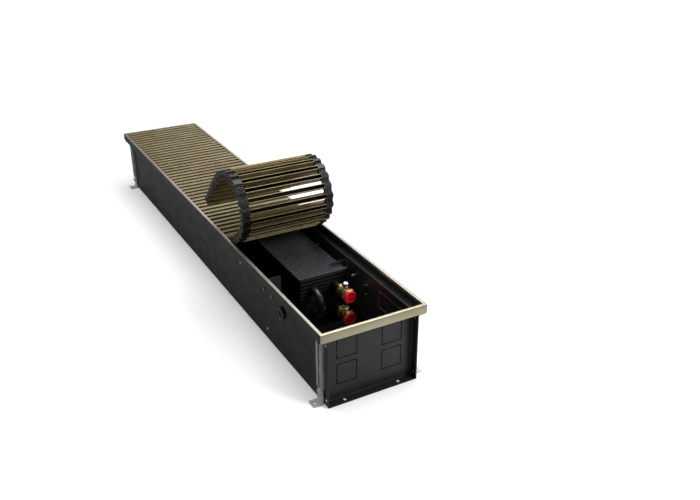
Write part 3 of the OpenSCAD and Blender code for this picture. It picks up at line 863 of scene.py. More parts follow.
@dataclass
class PaintedSlitShadows:
    """Painted shadows laid over the punched slits on the outside of the end panels.

    Attributes:
        finishes: What the heater is finished in.
        panel_x: Outside of the front panel.
        side: Side of a square knock-out.
        apart: Distance between the knock-outs' middles, across and up.
        low: Height of the lower knock-outs' middles.
        slit: Width of the punched slit.
        bridge: Length of the metal left between two slits.
        shadow_margin: Width of the painted shadow beside the slit.
        proud: How far the painted shadow stands off the panel.
        bevel: Its own bevel.
    """

    finishes: FinishRange
    panel_x: float = 605.0
    side: float = 41.0
    apart: Pair = (94.0, 54.0)
    low: float = 54.5
    slit: float = 1.2
    bridge: float = 2.0
    shadow_margin: float = 0.35
    proud: float = 0.05
    bevel: float = 0.01

    def build(self) -> None:
        """Lays the painted slit shadows over the four knock-outs of each end panel."""
        across, up = self.apart
        places = [
            [self.panel_x, y, z]
            for y in (-across / 2, across / 2)
            for z in (self.low, self.low + up)
        ]
        front = self.knock_out().copies(places)
        both = joined([front, front.mirrored(0)])
        Piece("panel_painted_slit_shadows", "casing", self.finishes.punched, [], both).build(CRISP)

    def knock_out(self) -> Surface:
        """Runs three painted shadow strips along each side of one knock-out, centred on the origin.

        Returns:
            The twelve painted shadows, standing on the plane x = 0.
        """
        half = self.slit / 2 + self.shadow_margin
        runs = []
        for upright, trim in ((False, 0.0), (True, 2 * self.slit)):
            length = self.side - trim
            run = (length + self.slit - 2 * self.bridge) / 3
            starts = -(length + self.slit) / 2 + np.arange(3) * (run + self.bridge)
            for edge in (-self.side / 2, self.side / 2):
                for start in starts:
                    low, high = np.array([start, edge - half]), np.array([start + run, edge + half])
                    if upright:
                        low, high = low[::-1], high[::-1]
                    box = np.array([low, [high[0], low[1]], high, [low[0], high[1]]])
                    runs.append(prism(Axis.X, box, 0.0, self.proud, self.bevel))
        return joined(runs)


# ---------------------------------------------------------------- edge frame


@dataclass
class EdgeFrame:
    """Bronze frame round the trench's mouth: four mitred rails, each a lip with a leg behind.

    Attributes:
        finishes: What the heater is finished in.
        half_l: Half the frame's length.
        half_w: Half its width.
        top: Its height over the floor.
        lip_w: Width of the lip on the rim.
        lip_t: Thickness of the lip.
        face_h: Height of the end rails' face.
        face_t: Thickness of that face.
        leg_t: Thickness of the leg.
        leg_h: Depth of the leg's foot under the top.
        leg_out_side: The leg's outer side on a side rail.
        leg_out_end: The leg's outer side on an end rail.
        roll: Rounding of the lip.
        face_rolls: Rounding of the face's foot and of its upper edge.
        leg_rolls: Rounding of the leg's four corners.
        tight: Rounding of an inner corner.
        leg_bevel: Bevel at the leg's ends.
    """

    finishes: FinishRange
    half_l: float = 625.0
    half_w: float = 109.0
    top: float = 160.0
    lip_w: float = 6.0
    lip_t: float = 1.5
    face_h: float = 18.0
    face_t: float = 3.0
    leg_t: float = 1.3
    leg_h: float = 8.0
    leg_out_side: float = 106.2
    leg_out_end: float = 620.7
    roll: float = 0.55
    face_rolls: Pair = (0.7, 0.9)
    leg_rolls: tuple[float, ...] = (0.4, 0.4, 0.05, 0.05)
    tight: float = 0.05
    leg_bevel: float = 0.1

    def build(self) -> None:
        """Makes the four rails."""
        side = self.side_rail()
        end = self.end_rail()
        for name, rail, finish in (
            ("frame_rail_right", side, self.finishes.side_rail),
            ("frame_rail_left", side.mirrored(1), self.finishes.side_rail),
            ("frame_rail_front", end, self.finishes.end_rail),
            ("frame_rail_rear", end.mirrored(0), self.finishes.end_rail),
        ):
            Piece(f"{name}_profile", "casing", finish, [name], rail).build()

    def mitred(self, axis: Axis, outline: np.ndarray, half: float, edge: float) -> Surface:
        """Runs an outline from one 45 degree mitre to the other.

        Each point runs to half - (edge - its distance out), so the outer edge is the longest.

        Args:
            axis: The axis that it runs along.
            outline: The rail's outline, with its distance out first.
            half: Half the length of the outer edge.
            edge: Distance out of the outer edge.

        Returns:
            The closed surface.
        """
        reach = half - (edge - outline[:, 0])
        return skinned(np.stack([axis.place(outline, -reach), axis.place(outline, reach)]))

    def leg(self, axis: Axis, out: float, half: float) -> Surface:
        """Makes the plain leg under a lip.

        Args:
            axis: The axis that it runs along.
            out: Where its outer side is.
            half: Half the length of the rail.

        Returns:
            The closed surface.
        """
        foot, under = self.top - self.leg_h, self.top - self.lip_t
        inner, run = out - self.leg_t, half - self.lip_w
        corners = [[inner, foot], [out, foot], [out, under], [inner, under]]
        return prism(axis, rounded(corners, self.leg_rolls), -run, run, self.leg_bevel)

    def side_rail(self) -> Surface:
        """Makes the lip on the trough's rim, and the leg inside it.

        Returns:
            The right rail.
        """
        low, high = self.half_w - self.lip_w, self.half_w
        under = self.top - self.lip_t
        lip = rounded([[low, under], [high, under], [high, self.top], [low, self.top]], self.roll)
        run = self.mitred(Axis.X, lip, self.half_l, self.half_w)
        return joined([run, self.leg(Axis.X, self.leg_out_side, self.half_l)])

    def end_rail(self) -> Surface:
        """Makes the lip with the decorative face in front, and the leg behind the sheet.

        Returns:
            The front rail.
        """
        low, back, out = self.half_l - self.lip_w, self.half_l - self.face_t, self.half_l
        under, foot = self.top - self.lip_t, self.top - self.face_h
        foot_roll, top_roll = self.face_rolls
        heights = [under, under, foot, foot, self.top, self.top]
        rolls = [self.roll, self.tight, self.roll, foot_roll, top_roll, self.roll]
        face = rounded(list(zip([low, back, back, out, out, low], heights)), rolls)
        run = self.mitred(Axis.Y, face, self.half_w, self.half_l)
        return joined([run, self.leg(Axis.Y, self.leg_out_end, self.half_w)])


# ---------------------------------------------------------------- heat exchanger


@dataclass
class Exchanger:
    """Pack of lipped fins between two ridged end fins.

    Attributes:
        finishes: What the heater is finished in.
        front: Back of the front end fin.
        pitch: Distance between fins.
        count: Number of fins with the end fins.
        side: The pack's right and left sides.
        low: The fins' lower edge.
        high: The fins' upper edge.
        gauge: Thickness of a fin.
        end_gauge: Thickness of an end fin.
        lip: Width of the bent lips.
        waves: Waves across a fin.
        wave_h: Height of the waves.
        ridges: Ridges up an end fin.
        ridge_d: Depth of the ridges.
        sway: How far the ridges undulate, as a share of their spacing.
        ridge_steps: Points up each ridge, and along each wave of it.
    """

    finishes: FinishRange
    front: float = 373.0
    pitch: float = 8.0
    count: int = 117
    side: Pair = (-25.0, 81.0)
    low: float = 23.0
    high: float = 123.0
    gauge: float = 0.5
    end_gauge: float = 0.8
    lip: float = 4.4
    waves: int = 12
    wave_h: float = 0.6
    ridges: int = 12
    ridge_d: float = 1.6
    sway: float = 0.1
    ridge_steps: tuple[int, int] = (6, 4)

    def build(self) -> None:
        """Makes the plain fins as one piece and the two end fins as another."""
        last = self.count - 1
        places = np.arange(1, last)[:, None] * [-self.pitch, 0.0, 0.0] + [self.front, 0.0, 0.0]
        fins = self.fin().copies(places)
        Piece("fins_folded", "casing", self.finishes.exchanger, ["fins"], fins).build()
        end = self.end_fin()
        near = end.copies([[self.front, 0.0, 0.0]])
        far = end.mirrored(0).copies([[self.front - last * self.pitch, 0.0, 0.0]])
        both = joined([near, far])
        Piece("end_fins_pressed", "casing", self.finishes.end_fin, ["end_fins"], both).build()

    def fin(self) -> Surface:
        """Makes a sheet with a lip bent forwards along its top and bottom.

        Its waves run across the trench: x moves back by wave_h at every second station.

        Returns:
            The fin, with its front on the plane x = 0.
        """
        t, low, high = self.gauge, self.low, self.high
        outline = np.array(
            [
                [self.lip, low],
                [-t, low],
                [-t, high],
                [self.lip, high],
                [self.lip, high - t],
                [0.0, high - t],
                [0.0, low + t],
                [self.lip, low + t],
            ]
        )
        stations = np.linspace(*self.side, 2 * self.waves + 1)
        crest = self.wave_h * (np.arange(len(stations)) % 2)
        rows = Axis.Y.place(outline[None].repeat(len(stations), axis=0), stations[:, None])
        rows[..., 0] -= crest[:, None]
        return skinned(rows)

    def end_fin(self) -> Surface:
        """Makes a thicker sheet pressed into ridges that run across the trench and undulate.

        x = ridge_d / 2 (1 - cos 2 pi (ridges (z - low) / (high - low) + sway sin 2 pi waves s)),
        with s from 0 to 1 across the sheet.

        Returns:
            The front end fin, with its back near the plane x = 0.
        """
        up_steps, wave_steps = self.ridge_steps
        z = np.linspace(self.low, self.high, self.ridges * up_steps + 1)
        y = np.linspace(*self.side, self.waves * wave_steps + 1)
        up = (z - self.low) / (self.high - self.low) * self.ridges
        over = self.sway * np.sin(2 * np.pi * self.waves * (y - y[0]) / (y[-1] - y[0]))
        face = self.ridge_d / 2 * (1 - np.cos(2 * np.pi * (up[None] + over[:, None])))
        outside = np.stack([face, np.broadcast_to(z, face.shape)], axis=-1)
        inside = outside - [self.end_gauge, 0.0]
        loops = np.concatenate([outside, inside[:, ::-1]], axis=1)
        return skinned(Axis.Y.place(loops, y[:, None]))


# ---------------------------------------------------------------- connections


@dataclass
class Connections:
    """Brass tees on the two tubes, with the air vent, the drain plug and the red caps.

    A tee's own frame starts at the back of its compression ring, on the tube's axis. A profile
    is a list of (radius, height) pairs, along the tube or, for boss, knob and plug, upwards.

    Attributes:
        finishes: What the heater is finished in.
        back: Back of the compression rings along the trench.
        y: The tubes' place across it.
        heights: Heights of the supply and the return tube.
        ring: Length of the compression ring, and its size across flats.
        nut: Where the hexagon starts and ends.
        nut_af: The hexagon's size across flats.
        bevels: Bevels of the ring and of the hexagon.
        broken: How far a hexagon's corners are broken.
        neck: Start, end and radius of the threaded neck.
        thread: Depth of the thread, and the number of its crests and roots.
        bore: The bore inside the neck.
        body: The grooved body behind the hexagon.
        socket: The threaded socket in the hexagon and the face round it.
        boss: The boss on the body's top.
        boss_x: Where the boss stands along the tee.
        boss_h: The boss's height.
        cap: The cap's plug, rim and recess, from the hexagon's face.
        cross: Half length, half width, rounding, start, end and bevel of the recess's cross.
        knob: The vent's stem and domed knob, from the boss's top.
        grip: Middle and half height of the flutes.
        flutes: Number of the flutes, and their depth.
        steps: Points round a cap or plug, and round the boss.
        plug: The drain plug, from the boss's top.
        bar: The same as cross, for the driver bar on the plug.
    """

    finishes: FinishRange
    back: float = 400.0
    y: float = 53.0
    heights: Pair = (98.0, 48.0)
    ring: Pair = (7.0, 22.0)
    nut: Pair = (30.0, 37.5)
    nut_af: float = 27.0
    bevels: Pair = (0.6, 0.8)
    broken: float = 0.9
    neck: Triple = (7.0, 12.0, 9.7)
    thread: tuple[float, int] = (0.5, 11)
    bore: tuple[Pair, ...] = ((6.5, 0.5), (9.7, 0.5))
    body: tuple[Pair, ...] = (
        (10.2, 12.0), (11.0, 12.8), (11.0, 26.0), (10.5, 26.5), (10.5, 27.5), (11.0, 28.0),
        (11.0, 30.5), (6.5, 30.5),
    )
    socket: tuple[Pair, ...] = (
        (6.5, 28.0), (10.2, 28.0), (10.2, 37.1), (10.6, 37.52), (11.8, 37.52), (11.8, 30.0)
    )
    boss: tuple[Pair, ...] = (
        (0.0, 6.0), (6.5, 6.0), (6.5, 10.9), (6.0, 11.3), (6.0, 11.9), (6.5, 12.3), (6.5, 13.1),
        (6.1, 13.5), (0.0, 13.5),
    )
    boss_x: float = 21.0
    boss_h: float = 13.5
    cap: tuple[Pair, ...] = (
        (0.0, -8.0), (9.6, -8.0), (10.1, -7.2), (10.1, 0.1), (12.15, 0.1), (12.85, 0.8),
        (12.85, 4.7), (12.55, 5.35), (11.95, 5.6), (10.1, 5.6), (9.55, 5.4), (9.4, 4.9),
        (9.2, 2.0), (8.7, 1.6), (0.0, 1.6),
    )
    cross: tuple[float, ...] = (9.3, 1.0, 0.35, 1.4, 4.6, 0.3)
    knob: tuple[Pair, ...] = (
        (0.0, -5.0), (3.0, -5.0), (3.0, 3.0), (7.0, 3.0), (7.6, 3.6), (7.8, 4.4), (7.8, 7.6),
        (7.5, 9.0), (6.7, 10.2), (5.4, 11.1), (3.6, 11.7), (1.8, 11.95), (0.0, 12.0),
    )
    grip: Pair = (6.0, 2.2)
    flutes: tuple[int, float] = (24, 0.35)
    steps: tuple[int, int] = (48, 32)
    plug: tuple[Pair, ...] = (
        (0.0, -5.0), (3.0, -5.0), (3.0, 0.2), (7.0, 0.2), (7.6, 0.8), (7.6, 3.0), (7.1, 3.6),
        (5.4, 3.75), (5.1, 3.1), (0.0, 3.1),
    )
    bar: tuple[float, ...] = (4.6, 0.8, 0.3, 2.9, 3.75, 0.2)

    def build(self) -> None:
        """Makes both connectors and what is fitted to them."""
        brass = self.finishes.brass
        tee, cap = self.tee(), self.red_cap()
        supply, drain = ([self.back, self.y, height] for height in self.heights)
        for name, place in (("supply", supply), ("return", drain)):
            body = tee.copies([place])
            lid = cap.copies([place])
            Piece(f"{name}_tee", "casing", brass, [f"{name}_connector"], body).build(CRISP)
            stands_for = [f"{name}_cap"]
            Piece(f"{name}_plug", f"{name}_cap", self.finishes.cap, stands_for, lid).build(SOFT)
        seat = np.array([self.boss_x, 0.0, self.boss_h])
        vent = self.vent_knob().copies([seat + supply])
        chrome, stands_for = self.finishes.chrome, ["air_vent_screw"]
        Piece("air_vent_knob", "air_vent", chrome, stands_for, vent).build(SOFT)
        plug = joined([turned_on(Axis.Z, self.plug, self.steps[0]), self.web(Axis.Z, self.bar)])
        plug = plug.copies([seat + drain])
        Piece("drain_plug_turned", "drain", brass, ["drain_plug"], plug).build(CRISP)

    def hexagon(self, across: float) -> np.ndarray:
        """Outline of a hexagon with its corners just broken; its radius is across / 2 / cos 30."""
        radius = across / 2 / math.cos(math.pi / 6)
        return rounded(arc((0.0, 0.0), radius, 0.0, 300.0, 5), self.broken, 2)

    def web(self, axis: Axis, sizes: Sequence[float], crossed: bool = False) -> Surface:
        """Makes a flat bar that stands on an axis.

        Args:
            axis: The axis.
            sizes: Half length, half width, rounding, start, end and bevel.
            crossed: Whether it is turned by 90 degrees.

        Returns:
            The closed surface.
        """
        long, wide, roll, start, end, bevel = sizes
        outline = rounded([[-long, -wide], [long, -wide], [long, wide], [-long, wide]], roll, 2)
        if crossed:
            outline = np.stack([outline[:, 1], -outline[:, 0]], axis=-1)
        return prism(axis, outline, start, end, bevel)

    def tee(self) -> Surface:
        """Makes the ring, the threaded neck, the grooved body, the hexagon, socket and boss.

        Returns:
            The tee in its own frame.
        """
        start, end, radius = self.neck
        depth, count = self.thread
        radii = radius - depth * (np.arange(count) % 2)
        thread = np.stack([radii, np.linspace(start, end, count)], axis=-1)
        ring_l, ring_af = self.ring
        ring_bevel, nut_bevel = self.bevels
        return joined(
            [
                prism(Axis.X, self.hexagon(ring_af), 0.0, ring_l, ring_bevel),
                prism(Axis.X, self.hexagon(self.nut_af), *self.nut, nut_bevel),
                turned_on(Axis.X, np.concatenate([self.bore, thread, self.body])),
                turned_on(Axis.X, self.socket),
                turned_on(Axis.Z, self.boss, self.steps[1]).copies([[self.boss_x, 0.0, 0.0]]),
            ]
        )

    def red_cap(self) -> Surface:
        """Makes a plug with a rim, a recess and a cross standing in it.

        Returns:
            The cap in the tee's frame.
        """
        parts = [turned_on(Axis.X, self.cap, self.steps[0])]
        parts += [self.web(Axis.X, self.cross, crossed) for crossed in (False, True)]
        return joined(parts).copies([[self.nut[1], 0.0, 0.0]])

    def vent_knob(self) -> Surface:
        """Makes a domed knob over its stem, fluted so that fingers can turn it.

        At turn t its radius is less by depth / 2 (1 + cos count t), fading away from the grip.

        Returns:
            The knob, standing on the origin.
        """
        count, depth = self.flutes
        middle, half = self.grip
        shape = turned_on(Axis.Z, self.knob, 4 * count)
        x, y, z = shape.points.T
        fade = np.clip(1.0 - np.abs(z - middle) / half, 0.0, 1.0)
        cut = depth * fade * (0.5 + 0.5 * np.cos(count * np.arctan2(y, x)))
        shape.points[:, :2] *= (1.0 - cut / np.maximum(np.hypot(x, y), 1.0))[:, None]
        return shape


# ---------------------------------------------------------------- roll-up grille


@dataclass
class Grille:
    """Slats on end blocks hinged to each other, flat at the back and rolled up in front.

    A link's own frame has its rear hinge at the origin and its front one at x = pitch.

    Attributes:
        finishes: What the heater is finished in.
        pitch: Distance between a link's hinges.
        half_l: Half the length of a slat.
        slat_w: Width of a slat.
        slat_t: Thickness of its walls.
        foot: Lower end of the slat's legs and of the blocks.
        top: Top of the slat.
        notch: How much shorter the legs are over the blocks.
        slat_rolls: Rounding of the slat's eight corners, from the left leg's foot.
        liner: Thickness of the painted shade inside the channel, and how far it stops over the
            legs' ends.
        block_w: Width of an end block.
        block_l: Length of an end block along the slat.
        block_top: Top of the end block.
        block_ease: Bevel of the block's foot, and of its top.
        slice_edge: Widest bevel between two slices of a block.
        knuckle_r: Radius of the eye and of the fork's cheeks.
        relief_r: Radius of the hollows that they turn in.
        arc_steps: Straight pieces in each of these arcs.
        shoulder: Width and height of the step beside the block's foot.
        base: Rear hinge of the first raised link, along and up.
        flat_count: Number of slats that lie flat.
        bends: Angle of each raised link to the one behind it, in degrees.
    """

    finishes: FinishRange
    pitch: float = 20.0
    half_l: float = 102.0
    slat_w: float = 10.0
    slat_t: float = 1.2
    foot: float = -8.0
    top: float = 11.0
    notch: float = 3.0
    slat_rolls: tuple[float, ...] = (0.55, 0.55, 0.5, 0.5, 0.55, 0.55, 0.9, 0.9)
    liner: Pair = (0.04, 0.8)
    block_w: float = 16.0
    block_l: float = 17.0
    block_top: float = 4.0
    block_ease: Pair = (0.6, 0.5)
    slice_edge: float = 0.3
    knuckle_r: float = 3.2
    relief_r: float = 3.6
    arc_steps: int = 10
    shoulder: Pair = (3.2, 3.0)
    base: Pair = (180.0, 148.3)
    flat_count: int = 40
    bends: tuple[float, ...] = (
        23, 3, 5, 7, 10, 14, 19, 21, 18, 13, 15, 18, 17, 14, 10, 8, 6, 3, 2, 1, 1, 1
    )

    def build(self) -> None:
        """Makes the raised links one by one and the flat part as one."""
        slat, hollow = self.slat(), self.hollow()
        start = np.array([self.base[0], 0.0, self.base[1]])
        headings = np.cumsum(self.bends)
        steps = np.radians(headings[:-1])
        run = np.stack([np.cos(steps), np.zeros(len(steps)), np.sin(steps)], axis=-1)
        hinges = start + self.pitch * np.concatenate([np.zeros((1, 3)), np.cumsum(run, axis=0)])
        for number, (hinge, heading) in enumerate(zip(hinges, headings), start=1):
            node = f"link_{number:02d}"
            for part, shape, finish in (
                ("slat", slat, self.finishes.slat),
                # The hollow is a painted shade: a dark liner inside the channel.
                ("hollow", hollow, self.finishes.slat_painted_shade),
                ("blocks", self.blocks(True, number < len(self.bends)), self.finishes.block),
            ):
                raised = shape.turned(hinge, heading)
                Piece(f"{node}_{part}", node, finish, [node], raised).build()
        places = start - self.pitch * np.arange(1, self.flat_count + 1)[:, None] * [1.0, 0.0, 0.0]
        ends = [self.blocks(True, True).copies(places[:-1])]
        ends += [self.blocks(False, True).copies(places[-1:])]
        for name, finish, node, shape in (
            ("flat_slats_extruded", self.finishes.slat, "flat_slats", slat.copies(places)),
            # The flat hollows are painted shade: dark liners inside the channels.
            ("flat_painted_shade_liners", self.finishes.slat_painted_shade, "flat_slats", hollow.copies(places)),
            ("flat_end_blocks", self.finishes.block, "flat_slat_ends", joined(ends)),
        ):
            Piece(name, "grille", finish, [node], shape).build()

    def slat(self) -> Surface:
        """Makes an upside-down channel whose legs are cut short over the end blocks.

        Returns:
            The slat in its link's frame.
        """
        inner = self.half_l - self.block_l
        stations = [-self.half_l, -inner, -inner, inner, inner, self.half_l]
        short = self.foot + self.notch
        feet = [short, short, self.foot, self.foot, short, short]
        rows = [Axis.Y.place(self.channel(z), y) for y, z in zip(stations, feet)]
        return skinned(np.stack(rows))

    def channel(self, foot: float) -> np.ndarray:
        """Draws the slat's section.

        Args:
            foot: Height of its legs' ends.

        Returns:
            The outline.
        """
        left = (self.pitch - self.slat_w) / 2
        right = left + self.slat_w
        under = self.top - self.slat_t
        return rounded(
            [
                [left, foot],
                [left + self.slat_t, foot],
                [left + self.slat_t, under],
                [right - self.slat_t, under],
                [right - self.slat_t, foot],
                [right, foot],
                [right, self.top],
                [left, self.top],
            ],
            self.slat_rolls,
        )

    def hollow(self) -> Surface:
        """Lines the channel with a painted shade, a hair proud of the slat's own walls.

        Returns:
            The painted shade liner in its link's frame.
        """
        thick, stop = self.liner
        left = (self.pitch - self.slat_w) / 2 + self.slat_t
        right = left + self.slat_w - 2 * self.slat_t
        under, foot = self.top - self.slat_t, self.foot + stop
        inner = self.half_l - self.block_l
        outline = np.array([[left, foot], [left, under], [right, under], [right, foot]])
        proud = outline + np.array([[1.0, 0.0], [1.0, -1.0], [-1.0, -1.0], [-1.0, 0.0]]) * thick
        loop = np.concatenate([outline, proud[::-1]])
        return skinned(Axis.Y.place(loop[None].repeat(2, axis=0), np.array([[-inner], [inner]])))

    def blocks(self, tongue: bool, fork: bool) -> Surface:
        """Makes both end blocks of a slat, each in slices along its length.

        Args:
            tongue: Whether they have an eye behind.
            fork: Whether they have cheeks in front.

        Returns:
            The blocks in their link's frame.
        """
        third = (self.block_l - 1) / 3
        inner = self.half_l - self.block_l
        middle = (self.block_l - third) / 2
        slices = [
            (self.slice(False, fork), 0.0, third),
            (self.slice(False, False), third, middle),
            (self.slice(tongue, False), middle, middle + third),
            (self.slice(False, False), middle + third, self.block_l - third),
            (self.slice(False, fork), self.block_l - third, self.block_l),
        ]
        right = joined(
            [
                prism(
                    Axis.Y, outline, inner + low, inner + high,
                    min(self.slice_edge, (high - low) / 3),
                )
                for outline, low, high in slices
            ]
        )
        return joined([right, right.mirrored(1)])

    def slice(self, tongue: bool, fork: bool) -> np.ndarray:
        """Draws a slice of the block: an eye or a hollow behind, a cheek or a hollow in front.

        Args:
            tongue: Whether there is an eye behind.
            fork: Whether there is a cheek in front.

        Returns:
            The outline, counter-clockwise from the rear of its foot.
        """
        rear = (self.pitch - self.block_w) / 2
        front = rear + self.block_w
        gap = math.degrees(math.acos(rear / self.relief_r))
        eye, hollow = self.knuckle_r, self.relief_r
        low, high = self.foot, self.block_top
        step = low + self.shoulder[1]
        pad_rear, pad_front = rear + self.shoulder[0], front - self.shoulder[0]
        ease, lid_ease = self.block_ease
        steps = self.arc_steps
        nose = arc((self.pitch, 0.0), hollow, 180.0 + gap, 180.0 - gap, steps)
        tail = arc((0.0, 0.0), hollow, gap, -gap, steps)
        if fork:
            cheek = arc((self.pitch, 0.0), eye, -90.0, 90.0, steps)
            nose = np.concatenate([[[front, -eye]], cheek, [[front, eye]]])
        if tongue:
            knuckle = arc((0.0, 0.0), eye, 90.0, 270.0, steps)
            tail = np.concatenate([[[rear, eye]], knuckle, [[rear, -eye]]])
        bottom = [
            [rear, step + ease],
            [rear + ease, step],
            [pad_rear, step],
            [pad_rear, low + ease],
            [pad_rear + ease, low],
            [pad_front - ease, low],
            [pad_front, low + ease],
            [pad_front, step],
            [front - ease, step],
            [front, step + ease],
        ]
        lid = [
            [front, high - lid_ease],
            [front - lid_ease, high],
            [rear + lid_ease, high],
            [rear, high - lid_ease],
        ]
        return np.concatenate([bottom, nose, lid, tail])


# ---------------------------------------------------------------- studio


@dataclass(frozen=True)
class Lamp:
    """A rectangular softbox or card, in metres.

    Attributes:
        name: What it is called.
        place: Where it hangs.
        size: Its two sides.
        power: Watts.
        lights: Whether it lights dull surfaces; a card doesn't.
        shines: Whether metal and gloss mirror it; a fill lamp stays out of them.
        aim: What it looks at, or nothing for straight down.
    """

    name: str
    place: Triple
    size: Pair
    power: float
    lights: bool = True
    shines: bool = True
    aim: Triple | None = (0.0, 0.0, 0.1)

    def hang(self) -> None:
        """Hangs the lamp in the scene."""
        data = bpy.data.lights.new(self.name, "AREA")
        data.shape = "RECTANGLE"
        data.size, data.size_y = self.size
        data.energy = self.power
        made = bpy.data.objects.new(self.name, data)
        made.location = self.place
        if self.aim is not None:
            look = Vector(self.aim) - Vector(self.place)
            made.rotation_euler = look.to_track_quat("-Z", "Y").to_euler()
        made.visible_diffuse = self.lights
        made.visible_glossy = self.shines
        bpy.context.scene.collection.objects.link(made)


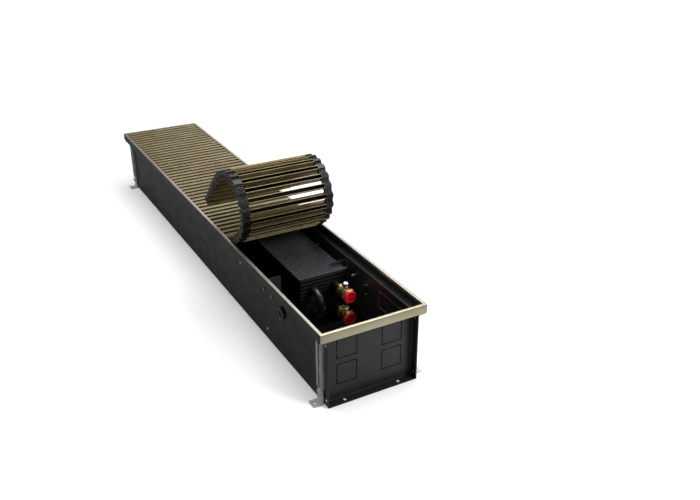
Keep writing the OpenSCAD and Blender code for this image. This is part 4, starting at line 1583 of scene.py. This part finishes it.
@dataclass
class Studio:
    """Pale floor, soft light and the photograph's camera, in metres.

    Attributes:
        eye: Where the camera stands.
        pitch: How far it looks down, in degrees.
        yaw: How far it is turned from looking along -X, in degrees.
        lens: Focal length, in mm.
        sensor: Width of the sensor, in mm.
        clip: How far the camera sees.
        sky: Strength of the even light.
        reach: Half the side of the floor.
        floor_tones: The floor's colour where it lights the heater, and where the camera sees it.
        floor_rough: The floor's roughness.
        floor_glow: The floor's own light near the heater, as the camera sees it.
        white_from: Distances between which the floor turns to plain white.
        oblong: How the distance counts in X, Y and Z.
        mirror_glow_middle: Middle of a glowing patch of floor that only metal mirrors, a painted
            reflection.
        mirror_glow_r: Its radius.
        mirror_glow_strength: Its strength.
        lamps: The softboxes and cards.
    """

    eye: Triple = (1.6338, -0.6179, 0.8843)
    pitch: float = 26.459
    yaw: float = 29.306
    lens: float = 40.64
    sensor: float = 36.0
    clip: float = 60.0
    sky: float = 0.18
    reach: float = 30.0
    floor_tones: tuple[str, str] = ("#8e8e8e", "#f6f6f6")
    floor_rough: float = 0.9
    floor_glow: float = 0.2
    white_from: Pair = (0.9, 2.6)
    oblong: Triple = (0.6, 1.0, 0.0)
    mirror_glow_middle: Triple = (0.74, 0.17, 0.0)
    mirror_glow_r: float = 0.36
    mirror_glow_strength: float = 0.7
    lamps: tuple[Lamp, ...] = (
        Lamp("overhead softbox", (-0.2, 0.0, 2.6), (2.0, 2.0), 62.0),
        Lamp("rear card", (-3.4, 1.9, 2.0), (2.4, 2.4), 12.5, lights=False),
        Lamp("front softbox", (2.9, 1.9, 2.3), (2.0, 2.0), 22.0),
        Lamp("low front card", (3.1, 1.75, 0.8), (1.5, 1.5), 4.0, lights=False),
        Lamp("front fill", (2.6, 1.7, 2.2), (1.0, 1.0), 75.0, shines=False),
        Lamp("strip card", (-0.2, 1.4, 2.7), (3.4, 0.7), 45.0, lights=False, aim=None),
    )

    def build(self) -> None:
        """Sets up everything round the heater."""
        self.floor()
        self.world()
        for lamp in self.lamps:
            lamp.hang()
        self.camera()
        bpy.context.scene.view_settings.view_transform = "Standard"

    def camera(self) -> None:
        """Stands the camera where the photograph was taken from."""
        pitch, yaw = math.radians(self.pitch), math.radians(self.yaw)
        flat = math.cos(pitch)
        forward = Vector((-math.cos(yaw) * flat, math.sin(yaw) * flat, -math.sin(pitch)))
        right = Vector((math.sin(yaw), math.cos(yaw), 0.0))
        up = right.cross(forward)
        data = bpy.data.cameras.new("studio camera")
        data.lens = self.lens
        data.sensor_width = self.sensor
        data.clip_end = self.clip
        made = bpy.data.objects.new("studio camera", data)
        turn = Matrix((right, up, -forward)).transposed().to_4x4()
        made.matrix_world = Matrix.Translation(self.eye) @ turn
        bpy.context.scene.collection.objects.link(made)
        bpy.context.scene.camera = made

    def floor(self) -> None:
        """Lays a wide pale floor that takes the heater's shadow."""
        r = self.reach
        mesh = bpy.data.meshes.new("studio_floor")
        square = [(-r, -r, 0.0), (r, -r, 0.0), (r, r, 0.0), (-r, r, 0.0)]
        mesh.from_pydata(square, [], [(0, 1, 2, 3)])
        mesh.materials.append(self.floor_finish())
        made = bpy.data.objects.new("studio_floor", mesh)
        bpy.context.scene.collection.objects.link(made)
        made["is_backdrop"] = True

    def floor_finish(self) -> bpy.types.Material:
        """Paints the floor matt, white to the camera far out, with a glowing patch that only metal
        mirrors, a painted reflection.

        Returns:
            The material.
        """
        material = bpy.data.materials.new("pale studio floor")
        material.use_nodes = True
        tree = material.node_tree
        ray = add_node(tree, "ShaderNodeLightPath")
        seen, mirrored = ray.outputs["Is Camera Ray"], ray.outputs["Is Glossy Ray"]
        place = add_node(tree, "ShaderNodeTexCoord").outputs["Object"]
        lit, shown = (linear(tone) for tone in self.floor_tones)
        tones = {"data_type": "RGBA", 6: lit, 7: shown}
        tone = add_node(tree, "ShaderNodeMix", tones, {"Factor": seen})
        # Painted reflection: a patch of floor glows for glossy rays only.
        from_mirror_glow = add_node(
            tree, "ShaderNodeVectorMath", {"operation": "DISTANCE", 1: self.mirror_glow_middle}, {0: place}
        )
        patch = add_node(
            tree,
            "ShaderNodeMapRange",
            {"From Min": 0.0, "From Max": self.mirror_glow_r, "To Min": self.mirror_glow_strength, "To Max": 0.0},
            {"Value": from_mirror_glow.outputs["Value"]},
        ).outputs["Result"]
        mirror_glow_seen = add_node(
            tree, "ShaderNodeMath", {"operation": "MULTIPLY"}, {0: patch, 1: mirrored}
        )
        squeezed = add_node(
            tree, "ShaderNodeVectorMath", {"operation": "MULTIPLY", 1: self.oblong}, {0: place}
        )
        away = add_node(
            tree, "ShaderNodeVectorMath", {"operation": "LENGTH"}, {0: squeezed.outputs["Vector"]}
        )
        near, far = self.white_from
        white = add_node(
            tree,
            "ShaderNodeMapRange",
            {"From Min": near, "From Max": far, "To Min": self.floor_glow, "To Max": 1.0},
            {"Value": away.outputs["Value"]},
        ).outputs["Result"]
        glow = add_node(
            tree,
            "ShaderNodeMath",
            {"operation": "MULTIPLY_ADD"},
            {0: seen, 1: white, 2: mirror_glow_seen.outputs[0]},
        )
        surface = tree.nodes["Principled BSDF"].inputs
        surface["Roughness"].default_value = self.floor_rough
        surface["Specular IOR Level"].default_value = 0.0
        surface["Emission Color"].default_value = linear("#ffffff")
        tree.links.new(tone.outputs[2], surface["Base Color"])
        tree.links.new(glow.outputs[0], surface["Emission Strength"])
        return material

    def world(self) -> None:
        """Soft even light from all round, and plain white where the camera looks past the floor."""
        world = bpy.data.worlds.new("studio")
        world.use_nodes = True
        tree = world.node_tree
        tree.nodes.clear()
        seen = add_node(tree, "ShaderNodeLightPath").outputs["Is Camera Ray"]
        light, white = (
            add_node(tree, "ShaderNodeBackground", {"Color": linear("#ffffff"), "Strength": power})
            for power in (self.sky, 1.0)
        )
        parts = {0: seen, 1: light.outputs[0], 2: white.outputs[0]}
        both = add_node(tree, "ShaderNodeMixShader", {}, parts)
        add_node(tree, "ShaderNodeOutputWorld", {}, {"Surface": both.outputs[0]})
        bpy.context.scene.world = world


@dataclass
class Heater:
    """The whole heater, sub-assembly by sub-assembly.

    Attributes:
        frame: The part frame as it was loaded.
        finishes: What the heater is finished in.
    """

    frame: Mapping[str, object]
    finishes: FinishRange = field(default_factory=FinishRange)

    def build(self) -> None:
        """Dresses the casing, then builds every other sub-assembly."""
        Casing(self.finishes, self.frame["nodes"]).build()
        for part in (PaintedSlitShadows, EdgeFrame, Exchanger, Connections, Grille):
            part(self.finishes).build()


def corners(box: Sequence[Vector]) -> list[list[float]]:
    """Turns a box's two corners into plain numbers."""
    return [[round(float(v), 6) for v in corner] for corner in box]


def main() -> None:
    """Builds the scene and works out the CAD's and the visual model's sizes."""
    logging.basicConfig(level=logging.INFO, format="%(name)s: %(message)s")
    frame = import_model()
    sizes = {"cad": corners(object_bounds())}
    Heater(frame).build()
    Studio().build()
    sizes["visual"] = corners(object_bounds())


if __name__ == "__main__":
    main()
